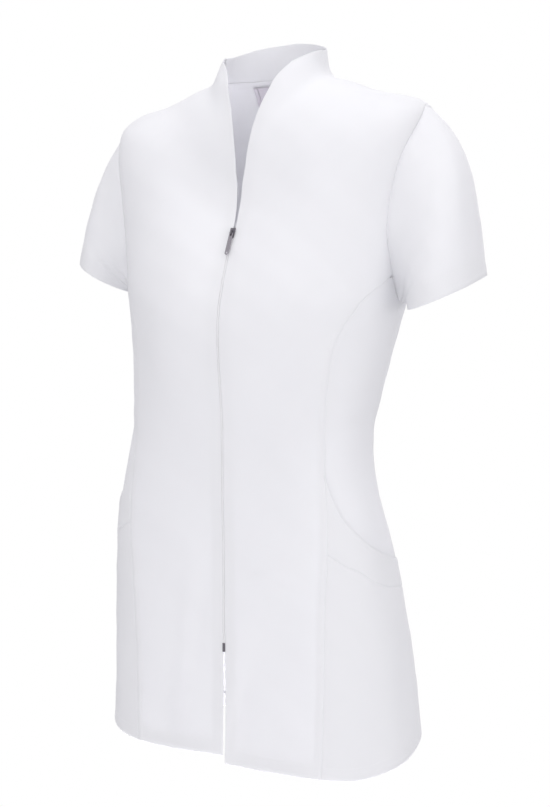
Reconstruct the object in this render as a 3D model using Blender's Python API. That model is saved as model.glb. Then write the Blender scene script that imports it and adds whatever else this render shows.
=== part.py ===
"""Short-sleeved work jacket with a zip front, held open in its worn form with nobody in it.

Metres, +Z up. The front faces -Y and the wearer's left is +X. The origin is the
centre of the neck, level with the high points of the shoulders, where the wearer
carries the jacket.

The cloth follows one closed skin. A place on it is an angle round the body
(0 at the front, +90 at the wearer's left, 180 at the back) and a station down
it: station 0 is the first row of RINGS, 1 the second, and so on. Each panel is
a grid of such places between two seams, and Solidify gives it its wall.
"""

import math
from collections import namedtuple

import bmesh
import bpy
import numpy as np
from mathutils import Matrix, Vector

# Driving dimensions, in metres and degrees.
CLOTH = 0.0012
SEAM_GAP = 0.0006
NECK_GAP = 0.0012
LAYER_GAP = 0.00055
HIP_TILT = 0.10
TILT_STARTS, TILT_IS_FULL = -0.30, -0.47
SHOULDER_TILT = 0.04
RIDGE = 0.05
SHOULDER_TILT_STARTS, SHOULDER_TILT_IS_FULL = -0.26, -0.12

SHOULDER_SEAM = 90.0
SIDE_SEAM, LOW_SIDE_SEAM = 92.0, 103.0
NECK_SEAM = 2.35
ARMHOLE_TOP, ARMHOLE_BOTTOM = 4.9, 7.6
PRINCESS_PHI, UNDER_PRINCESS_PHI = 128.0, 131.0
WAIST_ROW, MOUTH_ROW, HEM_ROW = 8.6, 10.2, 13.36

ZIP_HALF_GAP = 0.0016
ZIP_TOP, ZIP_BOTTOM = 5.36, 12.14
TAPE_INNER, TAPE_WIDTH, TAPE = 0.0012, 0.0118, 0.0008
STOP_STATION, STOP_SIZE = 12.26, (0.0026, 0.0090, 0.0034)
SLIDER_STATION = 5.64
LABEL_WIDTH, LABEL_HEIGHT, LABEL = 0.092, 0.048, 0.0006

# The skin: heights of each ring at the front, side and back, its half width, its
# reach forward and back from the middle, how square its front and back are, how
# it falls from the side to the front and back (2 is a plain slanted loop), and
# how far the stance sways it to the wearer's left (or right, if minus).
Ring = namedtuple(
    "Ring", "name front_z side_z back_z half_width front back front_power back_power fall sway"
)
RINGS = (
    Ring("collar edge", 0.012, 0.033, 0.044, 0.0545, 0.0447, 0.049, 2.0, 2.0, 2.0, 0.0),
    Ring("collar", -0.014, 0.016, 0.025, 0.0575, 0.0648, 0.053, 2.0, 2.0, 2.0, 0.0),
    Ring("neck", -0.045, -0.001, 0.006, 0.0650, 0.0746, 0.057, 2.0, 2.0, 2.0, 0.0),
    Ring("neck root", -0.070, -0.008, -0.022, 0.0870, 0.0788, 0.065, 2.1, 2.1, 1.7, 0.0),
    Ring("mid shoulder", -0.100, -0.022, -0.060, 0.1250, 0.0809, 0.074, 2.2, 2.2, 1.5, 0.0),
    Ring("shoulder", -0.140, -0.041, -0.115, 0.1740, 0.0869, 0.084, 2.4, 2.4, 1.3, 0.0),
    Ring("upper chest", -0.175, -0.110, -0.165, 0.1680, 0.104, 0.089, 2.4, 2.4, 1.5, 0.0),
    Ring("underarm", -0.212, -0.200, -0.212, 0.1540, 0.119, 0.086, 2.4, 2.4, 2.0, 0.0),
    Ring("bust", -0.250, -0.250, -0.250, 0.1470, 0.1275, 0.078, 2.3, 2.3, 2.0, 0.0),
    Ring("under bust", -0.310, -0.310, -0.310, 0.1360, 0.1285, 0.062, 2.3, 2.3, 2.0, -0.003),
    Ring("waist", -0.385, -0.385, -0.385, 0.1325, 0.117, 0.040, 2.6, 2.3, 2.0, -0.008),
    Ring("high hip", -0.465, -0.465, -0.465, 0.1490, 0.115, 0.047, 2.8, 2.3, 2.0, -0.007),
    Ring("hip", -0.560, -0.560, -0.560, 0.1620, 0.116, 0.071, 2.8, 2.3, 2.0, -0.004),
    Ring("thigh", -0.660, -0.660, -0.660, 0.1685, 0.117, 0.085, 2.8, 2.3, 2.0, -0.002),
    Ring("below the hem", -0.780, -0.780, -0.780, 0.1740, 0.117, 0.090, 2.8, 2.3, 2.0, -0.002),
)

# Soft forms of the cloth: where each is, how far it reaches along and across,
# how its long way leans from level, and how far it stands out (or in, if minus).
Fold = namedtuple("Fold", "name angle station along across lean height")
FOLDS = (
    Fold("bust left", 34.0, 7.70, 0.056, 0.060, 0.0, 0.0060),
    Fold("bust right", -34.0, 7.70, 0.056, 0.060, 0.0, 0.0060),
    Fold("break under right bust", -52.0, 8.00, 0.050, 0.024, 35.0, -0.0026),
    Fold("break under left bust", 48.0, 8.25, 0.046, 0.024, -30.0, -0.0020),
    Fold("right skirt", -34.0, 12.70, 0.090, 0.020, 84.0, -0.0030),
    Fold("left skirt", 14.0, 12.90, 0.070, 0.016, 76.0, -0.0024),
    Fold("left skirt side", 68.0, 12.90, 0.080, 0.022, 88.0, -0.0030),
    Fold("right skirt side", -72.0, 12.90, 0.080, 0.022, 92.0, -0.0030),
    Fold("small of the back", 180.0, 9.70, 0.060, 0.014, 0.0, -0.0030),
    Fold("back left", 150.0, 12.60, 0.100, 0.024, 86.0, -0.0040),
    Fold("back right", -148.0, 12.60, 0.100, 0.024, 94.0, -0.0040),
    Fold("shoulder blade left", 146.0, 6.70, 0.060, 0.045, 0.0, 0.0030),
    Fold("shoulder blade right", -146.0, 6.70, 0.060, 0.045, 0.0, 0.0030),
)

# Seams and edges on the left half. The right half mirrors them.
NECKLINE = (  # row, angle
    (0.00, 47.0), (0.20, 36.6), (0.47, 29.5), (0.81, 24.8), (1.42, 17.0), (2.10, 11.6),
    (2.90, 7.7), (3.60, 5.1), (3.90, 4.3), (4.30, 2.6), (4.70, 1.9), (5.10, 1.3), (5.60, 1.0),
)  # fmt: skip
COLLAR_TOP = ((0.0, 0.47), (55.0, 0.47), (90.0, 0.45), (130.0, 0.27), (180.0, 0.17))  # angle, station
ARMHOLE = (  # phi round the armhole from the shoulder down, front angle, back angle
    (0.0, 90.0, 90.0), (20.0, 88.0, 92.5), (35.0, 84.5, 96.0), (47.0, 81.0, 99.5), (60.0, 77.0, 102.5),
    (75.0, 75.0, 104.5), (90.0, 74.5, 105.5), (105.0, 75.5, 105.5), (120.0, 79.5, 104.0), (140.0, 85.2, 100.5),
    (160.0, 89.3, 96.0), (180.0, 92.0, 92.0),
)  # fmt: skip
PRINCESS = (  # station, angle
    (7.10, 81.6), (7.30, 74.0), (7.50, 68.7), (7.80, 65.0), (8.10, 61.8), (8.45, 59.6), (9.00, 59.8),
    (9.60, 62.4), (10.20, 63.5), (11.10, 60.0), (11.60, 56.0), (12.40, 52.0), (13.40, 49.0),
)  # fmt: skip
POCKET_MOUTH = (  # angle, station; past the side seam it only guides the rows of the back
    (63.5, 10.20), (65.5, 10.45), (68.0, 10.67), (71.5, 10.83), (76.0, 10.965), (82.5, 11.08), (89.0, 11.145),
    (96.5, 11.20), (103.0, 11.22), (128.0, 10.95), (180.0, 10.80),
)  # fmt: skip
HEM = (  # angle, station
    (0.0, 13.36), (50.0, 13.375), (58.0, 13.37), (66.0, 13.335), (73.0, 13.285), (82.0, 13.23), (90.0, 13.17),
    (98.0, 13.10), (104.0, 13.055), (112.0, 13.14), (122.0, 13.27), (135.0, 13.35), (180.0, 13.38),
)  # fmt: skip
CENTRE_SWING = (  # station, angle: the zipped front swings over the wearer's left at the waist
    (6.0, 0.0), (7.1, -0.2), (7.75, -0.5), (8.25, 0.1), (8.65, 1.3), (9.0, 2.5), (9.4, 3.7), (9.8, 4.3),
    (10.15, 4.3), (10.6, 3.6), (11.2, 2.8), (11.7, 2.2), (12.26, 1.5), (12.9, 1.0), (13.4, 0.3),
)  # fmt: skip
LEFT_FRONT_DROP, DROP_FADES = 0.035, 50.0
RIGHT_COLLAR_RISE, RISE_ANGLE, RISE_FADES = 0.17, -128.0, 26.0

# Each sleeve: the middle of its hem, the hem's half sizes outward-and-up and
# forward, and the ways in which it leaves the armhole and reaches the hem.
# They are written for the left; the wearer's right sleeve hangs closer.
Sleeve = namedtuple("Sleeve", "hem out forward leaves")
SLEEVES = {
    1: Sleeve(
        Vector((0.2015, -0.012, -0.2215)), Vector((0.037, 0.000, 0.014)), Vector((0.006, -0.062, -0.010)),
        Vector((0.82, 0.00, -0.57)),
    ),
    -1: Sleeve(
        Vector((0.192, 0.006, -0.210)), Vector((0.033, 0.000, 0.019)), Vector((0.004, -0.062, 0.005)),
        Vector((0.58, 0.00, -0.81)),
    ),
}
UNDERARM_LEAVES = Vector((0.86, 0.00, -0.51))
SLEEVE_ENDS = Vector((0.14, 0.00, -0.99))

LEFT, RIGHT = 1, -1


def clear_scene():
    for found in list(bpy.data.objects):
        bpy.data.objects.remove(found, do_unlink=True)


def even(first, last, steps):
    return [first + (last - first) * step / steps for step in range(steps + 1)]


def through(table, key):
    """Reads a smooth curve through a table whose first column is the key."""
    rows = np.array(table)
    knots, values = rows[:, 0], rows[:, 1:]
    key = np.clip(np.asarray(key, float), knots[0], knots[-1])
    step = np.diff(knots)
    rise = np.diff(values, axis=0) / step[:, None]
    slope = np.empty_like(values)
    slope[0], slope[-1] = rise[0], rise[-1]
    slope[1:-1] = (rise[:-1] * step[1:, None] + rise[1:] * step[:-1, None]) / (step[1:] + step[:-1])[:, None]
    at = np.clip(np.searchsorted(knots, key, side="right") - 1, 0, len(step) - 1)
    width = step[at][..., None]
    t = (key - knots[at])[..., None] / width
    read = (
        (2 * t**3 - 3 * t**2 + 1) * values[at]
        + (t**3 - 2 * t**2 + t) * width * slope[at]
        + (3 * t**2 - 2 * t**3) * values[at + 1]
        + (t**3 - t**2) * width * slope[at + 1]
    )
    return read[..., 0] if values.shape[1] == 1 else read


def ring_at(station):
    """The measures of the skin at a station, on a curve of even bend through the rings."""
    station = np.clip(np.asarray(station, float), 0, len(RINGS) - 1)
    at = np.minimum(station.astype(int), len(RINGS) - 2)
    t = (station - at)[..., None]
    low, high = RING_MEASURES[at], RING_MEASURES[at + 1]
    return low + t * (high - low - (1 - t) * ((2 - t) * RING_BEND[at] + (1 + t) * RING_BEND[at + 1]) / 6)


RING_MEASURES = np.array([ring[1:] for ring in RINGS])
_links = np.diag(np.full(len(RINGS), 4.0)) + np.eye(len(RINGS), k=1) + np.eye(len(RINGS), k=-1)
_links[[0, -1]] = np.eye(len(RINGS))[[0, -1]]
_turns = np.zeros_like(RING_MEASURES)
_turns[1:-1] = 6 * (RING_MEASURES[:-2] - 2 * RING_MEASURES[1:-1] + RING_MEASURES[2:])
RING_BEND = np.linalg.solve(_links, _turns)


def ease(start, end, value):
    t = np.clip((value - start) / (end - start), 0, 1)
    return t * t * (3 - 2 * t)


def bare_skin(angle, station):
    front_z, side_z, back_z, half_width, front, back, front_power, back_power, fall, sway = np.moveaxis(
        ring_at(station), -1, 0
    )
    turn = np.radians(angle)
    ahead, aside = np.cos(turn), np.sin(turn)
    facing = ahead >= 0
    middle = (back - front) / 2
    depth = (front + back) / 2
    power = np.where(facing, front_power, back_power)
    reach = ((np.abs(ahead) / depth) ** power + (np.abs(aside) / half_width) ** power) ** (-1 / power)
    x, y = sway + reach * aside, middle - reach * ahead
    drop = ((ahead**2 + RIDGE) ** (fall / 2) - RIDGE ** (fall / 2)) / ((1 + RIDGE) ** (fall / 2) - RIDGE ** (fall / 2))
    z = side_z + (np.where(facing, front_z, back_z) - side_z) * drop
    z = z + SHOULDER_TILT * x * ease(SHOULDER_TILT_STARTS, SHOULDER_TILT_IS_FULL, z)
    z = z - HIP_TILT * x * ease(TILT_STARTS, TILT_IS_FULL, z)
    return np.stack([x, y, z], -1)


def skin(angle, station):
    """The middle of the cloth at a place, with its folds."""
    angle, station = np.broadcast_arrays(np.asarray(angle, float), np.asarray(station, float))
    point = bare_skin(angle, station)
    lift = np.zeros(angle.shape)
    for fold in FOLDS:
        centre = bare_skin(np.array(fold.angle), np.array(fold.station))
        round_body = (angle - fold.angle + 180) % 360 - 180
        across = np.radians(round_body) * math.hypot(centre[0], centre[1])
        up = point[..., 2] - centre[2]
        lean = math.radians(fold.lean)
        far = across * math.cos(lean) + up * math.sin(lean)
        wide = up * math.cos(lean) - across * math.sin(lean)
        lift += fold.height * np.exp(-((far / fold.along) ** 2) - (wide / fold.across) ** 2)
    turn = np.radians(angle)
    point[..., 0] += lift * np.sin(turn)
    point[..., 1] -= lift * np.cos(turn)
    return point


def outward(angle, station):
    """The way out of the skin at a place."""
    round_body = skin(angle + 0.4, station) - skin(angle - 0.4, station)
    down = skin(angle, station + 0.02) - skin(angle, station - 0.02)
    normal = np.cross(down, round_body)
    return normal / np.linalg.norm(normal, axis=-1, keepdims=True)


def swing(row):
    """Angle of the middle of the closed front."""
    return float(through(CENTRE_SWING, row))


def station_of(row, angle):
    """Where a row of the grid lies at an angle: collar, pocket mouth and hem bend the rows."""
    turned = np.abs((np.asarray(angle, float) + 180) % 360 - 180)
    if row < NECK_SEAM:
        leant = ((np.asarray(angle, float) - RISE_ANGLE + 180) % 360 - 180) / RISE_FADES
        top = through(COLLAR_TOP, turned) - RIGHT_COLLAR_RISE * np.exp(-(leant**2))
        return top + (NECK_SEAM - top) * row / NECK_SEAM
    if row < WAIST_ROW:
        return np.full(turned.shape, float(row))
    mouth = through(POCKET_MOUTH, turned)
    if row < MOUTH_ROW:
        return WAIST_ROW + (mouth - WAIST_ROW) * (row - WAIST_ROW) / (MOUTH_ROW - WAIST_ROW)
    signed = (np.asarray(angle, float) + 180) % 360 - 180
    side = np.where(signed >= swing(row), 1.0, -1.0)
    hem = through(HEM, turned) + side * LEFT_FRONT_DROP * (1 - ease(0, DROP_FADES, turned))
    return mouth + (hem - mouth) * (row - MOUTH_ROW) / (HEM_ROW - MOUTH_ROW)


def armhole_station(phi):
    middle, half = (ARMHOLE_TOP + ARMHOLE_BOTTOM) / 2, (ARMHOLE_BOTTOM - ARMHOLE_TOP) / 2
    return middle - half * math.cos(math.radians(phi))


def armhole_phi(station):
    middle, half = (ARMHOLE_TOP + ARMHOLE_BOTTOM) / 2, (ARMHOLE_BOTTOM - ARMHOLE_TOP) / 2
    return math.degrees(math.acos(max(-1, min(1, (middle - station) / half))))


ARMHOLE_CENTRE = (90.0, (ARMHOLE_TOP + ARMHOLE_BOTTOM) / 2)
ARMHOLE_PHIS = (
    even(0, PRINCESS_PHI, 11) + [UNDER_PRINCESS_PHI] + even(UNDER_PRINCESS_PHI, 180, 5)[1:]
)
PRINCESS_TOP = armhole_station(PRINCESS_PHI)
SIDE_TOP = armhole_station(UNDER_PRINCESS_PHI)
ROWS = (
    even(0, NECK_SEAM, 6)
    + even(NECK_SEAM, ARMHOLE_TOP, 9)[1:]
    + [armhole_station(phi) for phi in ARMHOLE_PHIS[1:]]
    + even(ARMHOLE_BOTTOM, WAIST_ROW, 4)[1:]
    + even(WAIST_ROW, MOUTH_ROW, 6)[1:]
    + even(MOUTH_ROW, HEM_ROW, 11)[1:]
)


def centre_front(row):
    """Angle of the front edge: the neckline, then a straight edge beside the zip."""
    if row < NECKLINE[-1][0]:
        return float(through(NECKLINE, row))
    ring = ring_at(row)
    return math.degrees(math.atan2(ZIP_HALF_GAP, (ring[4] + ring[5]) / 2))


def front_outer_edge(row):
    if row <= ARMHOLE_TOP:
        return SHOULDER_SEAM
    if row <= PRINCESS_TOP + 1e-6:
        return float(through(ARMHOLE, armhole_phi(row))[0])
    return princess_angle(row)


def princess_angle(row):
    angle = 60.0
    for _ in range(12):
        angle = float(through(PRINCESS, float(station_of(row, angle))))
    return angle


def side_seam(row):
    """Angle of the side seam, which swings back from the armhole to the hip."""
    return SIDE_SEAM + (LOW_SIDE_SEAM - SIDE_SEAM) * float(ease(ARMHOLE_BOTTOM, MOUTH_ROW, row))


def side_outer_edge(row):
    return float(through(ARMHOLE, armhole_phi(row))[0]) if row < ARMHOLE_BOTTOM else side_seam(row)


def back_edge(row):
    if row <= ARMHOLE_TOP:
        return SHOULDER_SEAM
    return float(through(ARMHOLE, armhole_phi(row))[1]) if row < ARMHOLE_BOTTOM else side_seam(row)


def grid_between(rows, first_edge, last_edge, columns):
    """Places on the skin, a row at a time from one edge to the other."""
    places = [
        [(angle, float(station_of(row, angle))) for angle in even(first_edge(row), last_edge(row), columns)]
        for row in rows
    ]
    return np.array(places)


def mirrored(places):
    """The same grid on the wearer's right, with the rows reversed so that it still runs the same way round."""
    flipped = places[:, ::-1].copy()
    flipped[..., 0] *= -1
    return flipped


def rounded_right(places, rows):
    """Stations of a mirrored grid, read again because the two fronts hang unevenly."""
    for at, row in enumerate(rows):
        places[at, :, 1] = station_of(row, places[at, :, 0])
    return places


def drawn_in(points, normals, gap):
    """Moves the outer edge of a grid of points inward, along the cloth, by half of a seam's gap."""
    rows, columns = points.shape[:2]
    moved = points.copy()
    edges = (
        (np.s_[:, 0], 0, 1), (np.s_[:, columns - 1], 0, -1),
        (np.s_[0, :], 1, -1), (np.s_[rows - 1, :], 1, 1),
    )  # fmt: skip
    for where, axis, sign in edges:
        along = np.gradient(points, axis=axis)[where]
        inward = np.cross(normals[where], along) * sign
        length = np.linalg.norm(inward, axis=-1, keepdims=True)
        moved[where] += inward / np.maximum(length, 1e-9) * gap
    return moved


def material(name, colour, roughness, metallic=0.0):
    made = bpy.data.materials.new(name)
    made.use_nodes = True
    shader = made.node_tree.nodes["Principled BSDF"]
    shader.inputs["Base Color"].default_value = (*colour, 1.0)
    shader.inputs["Roughness"].default_value = roughness
    shader.inputs["Metallic"].default_value = metallic
    made.diffuse_color = (*colour, 1.0)
    return made


def add_object(name, mesh, finish):
    made = bpy.data.objects.new(name, mesh)
    bpy.context.scene.collection.objects.link(made)
    mesh.materials.append(finish)
    mesh.shade_smooth()
    mesh.set_sharp_from_angle(angle=math.radians(40))
    return made


def sheet(name, points, thickness, finish, closed=False):
    """A wall of cloth through a grid of points; closed joins each row's ends into a tube."""
    rows, columns = points.shape[:2]
    faces = []
    for row in range(rows - 1):
        for column in range(columns if closed else columns - 1):
            beside = (column + 1) % columns
            faces.append(
                (row * columns + column, (row + 1) * columns + column,
                 (row + 1) * columns + beside, row * columns + beside)
            )  # fmt: skip
    mesh = bpy.data.meshes.new(name)
    mesh.from_pydata([tuple(point) for point in points.reshape(-1, 3)], [], faces)
    made = add_object(name, mesh, finish)
    wall = made.modifiers.new("Wall", "SOLIDIFY")
    wall.thickness = thickness
    wall.offset = 0.0
    return made


def panel(name, places, finish, thickness=CLOTH, lift=0.0, gap=SEAM_GAP):
    """A cut piece of cloth on the skin, or lifted off it; its edges leave room for the seams."""
    angle, station = places[..., 0], places[..., 1]
    normals = outward(angle, station)
    points = drawn_in(skin(angle, station), normals, gap / 2)
    if not np.isscalar(lift):
        lift = np.asarray(lift)[..., None]
    return sheet(name, points + normals * lift, thickness, finish)


def make_front(side, finish):
    places = grid_between(ROWS, lambda row: centre_front(row) + side * swing(row), front_outer_edge, 12)
    if side == RIGHT:
        places = rounded_right(mirrored(places), ROWS)
    return panel("front_left" if side == LEFT else "front_right", places, finish)


def tuck(station, mouth):
    """How far the side panel sinks behind the pocket: nothing well above the mouth, a layer below it."""
    return -(CLOTH + LAYER_GAP) * ease(mouth - 0.55, mouth - 0.05, station)


def make_side(side, finish):
    rows = [row for row in ROWS if row > SIDE_TOP - 1e-6]
    places = grid_between(rows, princess_angle, side_outer_edge, 5)
    below = [at for at, row in enumerate(rows) if row > MOUTH_ROW - 1e-6]
    word = "left" if side == LEFT else "right"
    if side == RIGHT:
        places = mirrored(places)
    lift = tuck(places[..., 1], through(POCKET_MOUTH, np.abs(places[..., 0])))
    panel(f"side_{word}", places, finish, lift=lift)
    return panel(f"pocket_{word}", places[below], finish, gap=2 * SEAM_GAP)


def make_back(finish):
    rows = [row for row in ROWS if row > NECK_SEAM - 1e-6]
    places = grid_between(rows, back_edge, lambda row: 360 - back_edge(row), 20)
    return panel("back", places, finish)


def make_collar_back(finish):
    rows = [row for row in ROWS if row < NECK_SEAM + 1e-6]
    places = grid_between(rows, lambda _: SHOULDER_SEAM, lambda _: 360 - SHOULDER_SEAM, 16)
    return panel("collar_back", places, finish, gap=NECK_GAP)


def make_label(finish):
    """A bare woven label, sewn by its top edge inside the back of the neck."""
    top, depth = NECK_SEAM + 0.10, LABEL_HEIGHT / 0.033

    def reach(row):
        return math.degrees(math.asin(LABEL_WIDTH / 2 / ring_at(row)[3]))

    places = grid_between(even(top, top + depth, 5), lambda row: 180 - reach(row), lambda row: 180 + reach(row), 6)
    inside = -(CLOTH + LABEL) / 2 - LAYER_GAP - 0.0006
    return panel("label", places, finish, thickness=LABEL, lift=inside)


def sleeve_point(side, phi, behind, t):
    """A point on a sleeve, from the armhole at t = 0 to the hem at t = 1."""
    around = through(ARMHOLE, phi)
    angle, station = around[1 if behind else 0], armhole_station(phi)
    start = Vector(skin(side * angle, station))
    normal = Vector(outward(side * angle, station))
    turn = math.radians(phi)
    cut = SLEEVES[side]
    hem = cut.hem + cut.out * math.cos(turn) + cut.forward * math.sin(turn) * (-1 if behind else 1)
    low = (1 - math.cos(turn)) / 2
    leaves = cut.leaves.lerp(UNDERARM_LEAVES, low).normalized()
    ends = SLEEVE_ENDS.normalized()
    hem, leaves, ends = (Vector((side * v.x, v.y, v.z)) for v in (hem, leaves, ends))
    inward = Vector(skin(side * ARMHOLE_CENTRE[0], ARMHOLE_CENTRE[1])) - start
    inward = (inward - normal * inward.dot(normal)).normalized()
    start = start + inward * 1.2 * SEAM_GAP + leaves * (SEAM_GAP + CLOTH * abs(normal.dot(leaves)))
    span = (hem - start).length
    handle_start, handle_end = start + leaves * span * 0.36, hem - ends * span * 0.40
    s = 1 - t
    return start * s**3 + handle_start * 3 * s * s * t + handle_end * 3 * s * t * t + hem * t**3


def make_sleeve(side, finish):
    loop = [(phi, False) for phi in ARMHOLE_PHIS] + [(phi, True) for phi in reversed(ARMHOLE_PHIS[1:-1])]
    if side == RIGHT:
        loop.reverse()
    points = np.array([[sleeve_point(side, phi, behind, t) for phi, behind in loop] for t in even(0, 1, 9)])
    return sheet("sleeve_left" if side == LEFT else "sleeve_right", points, CLOTH, finish, closed=True)


def make_zip_tape(side, finish):
    """A woven strip behind each front edge, which carries that half of the zip."""
    rows = even(ZIP_TOP, ZIP_BOTTOM, 18)

    def angle_at(row, distance):
        ring = ring_at(row)
        return math.degrees(distance / ((ring[4] + ring[5]) / 2))

    def inner(row):
        return centre_front(row) + side * swing(row) - angle_at(row, ZIP_HALF_GAP - TAPE_INNER)

    places = grid_between(rows, inner, lambda row: inner(row) + angle_at(row, TAPE_WIDTH), 2)
    if side == RIGHT:
        places = rounded_right(mirrored(places), rows)
    behind = -(CLOTH + TAPE) / 2 - LAYER_GAP
    name = "zip_tape_left" if side == LEFT else "zip_tape_right"
    return panel(name, places, finish, thickness=TAPE, lift=behind, gap=0.0)


def plate(name, loops, thickness, finish):
    """A flat piece with holes: the first loop is its outline, in XY, and it is thick in Z."""
    shape = bmesh.new()
    edges = []
    for loop in loops:
        corners = [shape.verts.new((x, y, -thickness / 2)) for x, y in loop]
        edges += [shape.edges.new((a, b)) for a, b in zip(corners, corners[1:] + corners[:1])]
    flat = bmesh.ops.triangle_fill(shape, use_beauty=True, use_dissolve=False, edges=edges)
    faces = [found for found in flat["geom"] if isinstance(found, bmesh.types.BMFace)]
    grown = bmesh.ops.extrude_face_region(shape, geom=faces)
    bmesh.ops.translate(
        shape, vec=(0, 0, thickness), verts=[found for found in grown["geom"] if isinstance(found, bmesh.types.BMVert)]
    )
    bmesh.ops.recalc_face_normals(shape, faces=shape.faces)
    mesh = bpy.data.meshes.new(name)
    shape.to_mesh(mesh)
    shape.free()
    return add_object(name, mesh, finish)


def arc(centre_x, centre_y, radius, first, last, steps):
    return [
        (centre_x + radius * math.cos(math.radians(turn)), centre_y + radius * math.sin(math.radians(turn)))
        for turn in even(first, last, steps)
    ]


def on_centre_front(station):
    """Frame on the closed front: X to the wearer's left, Y up along the zip, Z out of the cloth."""
    above, origin, below = (Vector(skin(swing(place), place)) for place in (station - 0.05, station, station + 0.05))
    up = (above - below).normalized()
    out = Vector((1, 0, 0)).cross(up).normalized()
    return Matrix.Translation(origin) @ Matrix((up.cross(out), up, out)).transposed().to_4x4()


# Zip slider: an upper and a lower plate joined by a neck that runs in the gap
# between the front edges, and a bridge on top that holds the pull tab's bar.
SLIDER_LENGTH, SLIDER_WIDTH, SLIDER_NECK = 0.0110, 0.0056, 0.0016
UPPER_FROM, UPPER_TO = 0.0011, 0.0022
LOWER_FROM, LOWER_TO = -0.0032, -0.0024
BRIDGE_WIDTH, BRIDGE_WALL, BRIDGE_TOP = 0.0012, 0.0008, 0.0047
BRIDGE_BACK, BRIDGE_FRONT = 0.0030, -0.0030

# Pull tab: a plate with a window for the bridge and an eye near its round end.
TAB_PIVOT_ALONG, TAB_PIVOT_UP = -0.0014, 0.0031
TAB_LENGTH, TAB_WIDTH, TAB_THICKNESS = 0.0245, 0.0042, 0.0008
TAB_WINDOW_LENGTH, TAB_WINDOW_WIDTH, TAB_BAR = 0.0028, 0.0020, 0.0004
TAB_EYE_RADIUS, TAB_EYE_FROM_END = 0.0011, 0.0024
TAB_REST = 2.0


def make_slider(finish):
    half, neck = SLIDER_WIDTH / 2, SLIDER_NECK / 2
    section = [
        (-half, UPPER_FROM), (-half, UPPER_TO), (half, UPPER_TO), (half, UPPER_FROM), (neck, UPPER_FROM),
        (neck, LOWER_TO), (half, LOWER_TO), (half, LOWER_FROM), (-half, LOWER_FROM), (-half, LOWER_TO),
        (-neck, LOWER_TO), (-neck, UPPER_FROM),
    ]  # fmt: skip
    body = plate("zip_slider", [section], SLIDER_LENGTH, finish)
    body.data.transform(Matrix.Rotation(math.radians(90), 4, "X"))
    wall, foot = BRIDGE_WALL, UPPER_TO - 0.0004
    side_view = [
        (BRIDGE_BACK, foot), (BRIDGE_BACK, BRIDGE_TOP - 0.0010), (BRIDGE_BACK - 0.0010, BRIDGE_TOP),
        (BRIDGE_FRONT + 0.0010, BRIDGE_TOP), (BRIDGE_FRONT, BRIDGE_TOP - 0.0010), (BRIDGE_FRONT, foot),
        (BRIDGE_FRONT + wall, foot), (BRIDGE_FRONT + wall, BRIDGE_TOP - 0.0013),
        (BRIDGE_FRONT + 0.0013, BRIDGE_TOP - wall), (BRIDGE_BACK - 0.0013, BRIDGE_TOP - wall),
        (BRIDGE_BACK - wall, BRIDGE_TOP - 0.0013), (BRIDGE_BACK - wall, foot),
    ]  # fmt: skip
    bridge = plate("bridge", [side_view], BRIDGE_WIDTH, finish)
    bridge.data.transform(Matrix(((0, 0, 1, 0), (1, 0, 0, 0), (0, 1, 0, 0), (0, 0, 0, 1))))
    bridge.hide_render = True
    bridge.display_type = "WIRE"
    joined = body.modifiers.new("Bridge", "BOOLEAN")
    joined.operation = "UNION"
    joined.object = bridge
    body.matrix_world = on_centre_front(SLIDER_STATION)
    bridge.matrix_world = body.matrix_world
    return body


def make_pull_tab(finish):
    """Its origin is on its bar, the axis on which it lifts."""
    half, end = TAB_WIDTH / 2, TAB_LENGTH - TAB_WIDTH / 2
    outline = [(-half, TAB_BAR), (-half, -end)] + arc(0, -end, half, 180, 360, 8)[1:-1] + [(half, -end), (half, TAB_BAR)]
    window_half = TAB_WINDOW_WIDTH / 2
    window = [
        (-window_half, -TAB_BAR), (window_half, -TAB_BAR),
        (window_half, -TAB_BAR - TAB_WINDOW_LENGTH), (-window_half, -TAB_BAR - TAB_WINDOW_LENGTH),
    ]  # fmt: skip
    eye = arc(0, -TAB_LENGTH + TAB_EYE_FROM_END, TAB_EYE_RADIUS, 0, 360, 10)[:-1]
    tab = plate("zip_pull_tab", [outline, window, eye], TAB_THICKNESS, finish)
    lie_down = Matrix.Rotation(math.radians(TAB_REST), 4, "X")
    tab.matrix_world = (
        on_centre_front(SLIDER_STATION) @ Matrix.Translation((0, TAB_PIVOT_ALONG, TAB_PIVOT_UP)) @ lie_down
    )
    return tab


def make_bottom_stop(finish):
    width, height, depth = STOP_SIZE
    outline = [(-width / 2, -height / 2), (width / 2, -height / 2), (width / 2, height / 2), (-width / 2, height / 2)]
    stop = plate("zip_bottom_stop", [outline], depth, finish)
    stop.matrix_world = on_centre_front(STOP_STATION) @ Matrix.Translation((0, 0, -0.0004))
    return stop


def main():
    clear_scene()
    bpy.context.scene.unit_settings.scale_length = 1.0
    cloth = material("white cloth", (0.86, 0.86, 0.90), 0.85)
    tape = material("white zip tape", (0.80, 0.80, 0.84), 0.80)
    label = material("grey label", (0.50, 0.46, 0.52), 0.70)
    metal = material("silver metal", (0.62, 0.62, 0.64), 0.30, 1.0)
    for side in (LEFT, RIGHT):
        make_front(side, cloth)
        make_side(side, cloth)
        make_sleeve(side, cloth)
        make_zip_tape(side, tape)
    make_back(cloth)
    make_collar_back(cloth)
    make_label(label)
    make_slider(metal)
    make_pull_tab(metal)
    make_bottom_stop(metal)


main()
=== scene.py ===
"""The white work jacket, dressed: its cloth, seams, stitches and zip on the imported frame.

Metres, +Z up. The front faces -Y and the wearer's left is +X. The sections
follow the jacket as it is sewn: fronts, sides, pockets, back, collar, sleeves,
stitches, label and zip. The studio comes first: the fit is judged in its camera.
"""

import math
from collections import namedtuple

import bmesh
import bpy
import numpy as np
from mathutils import Matrix, Vector


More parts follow.
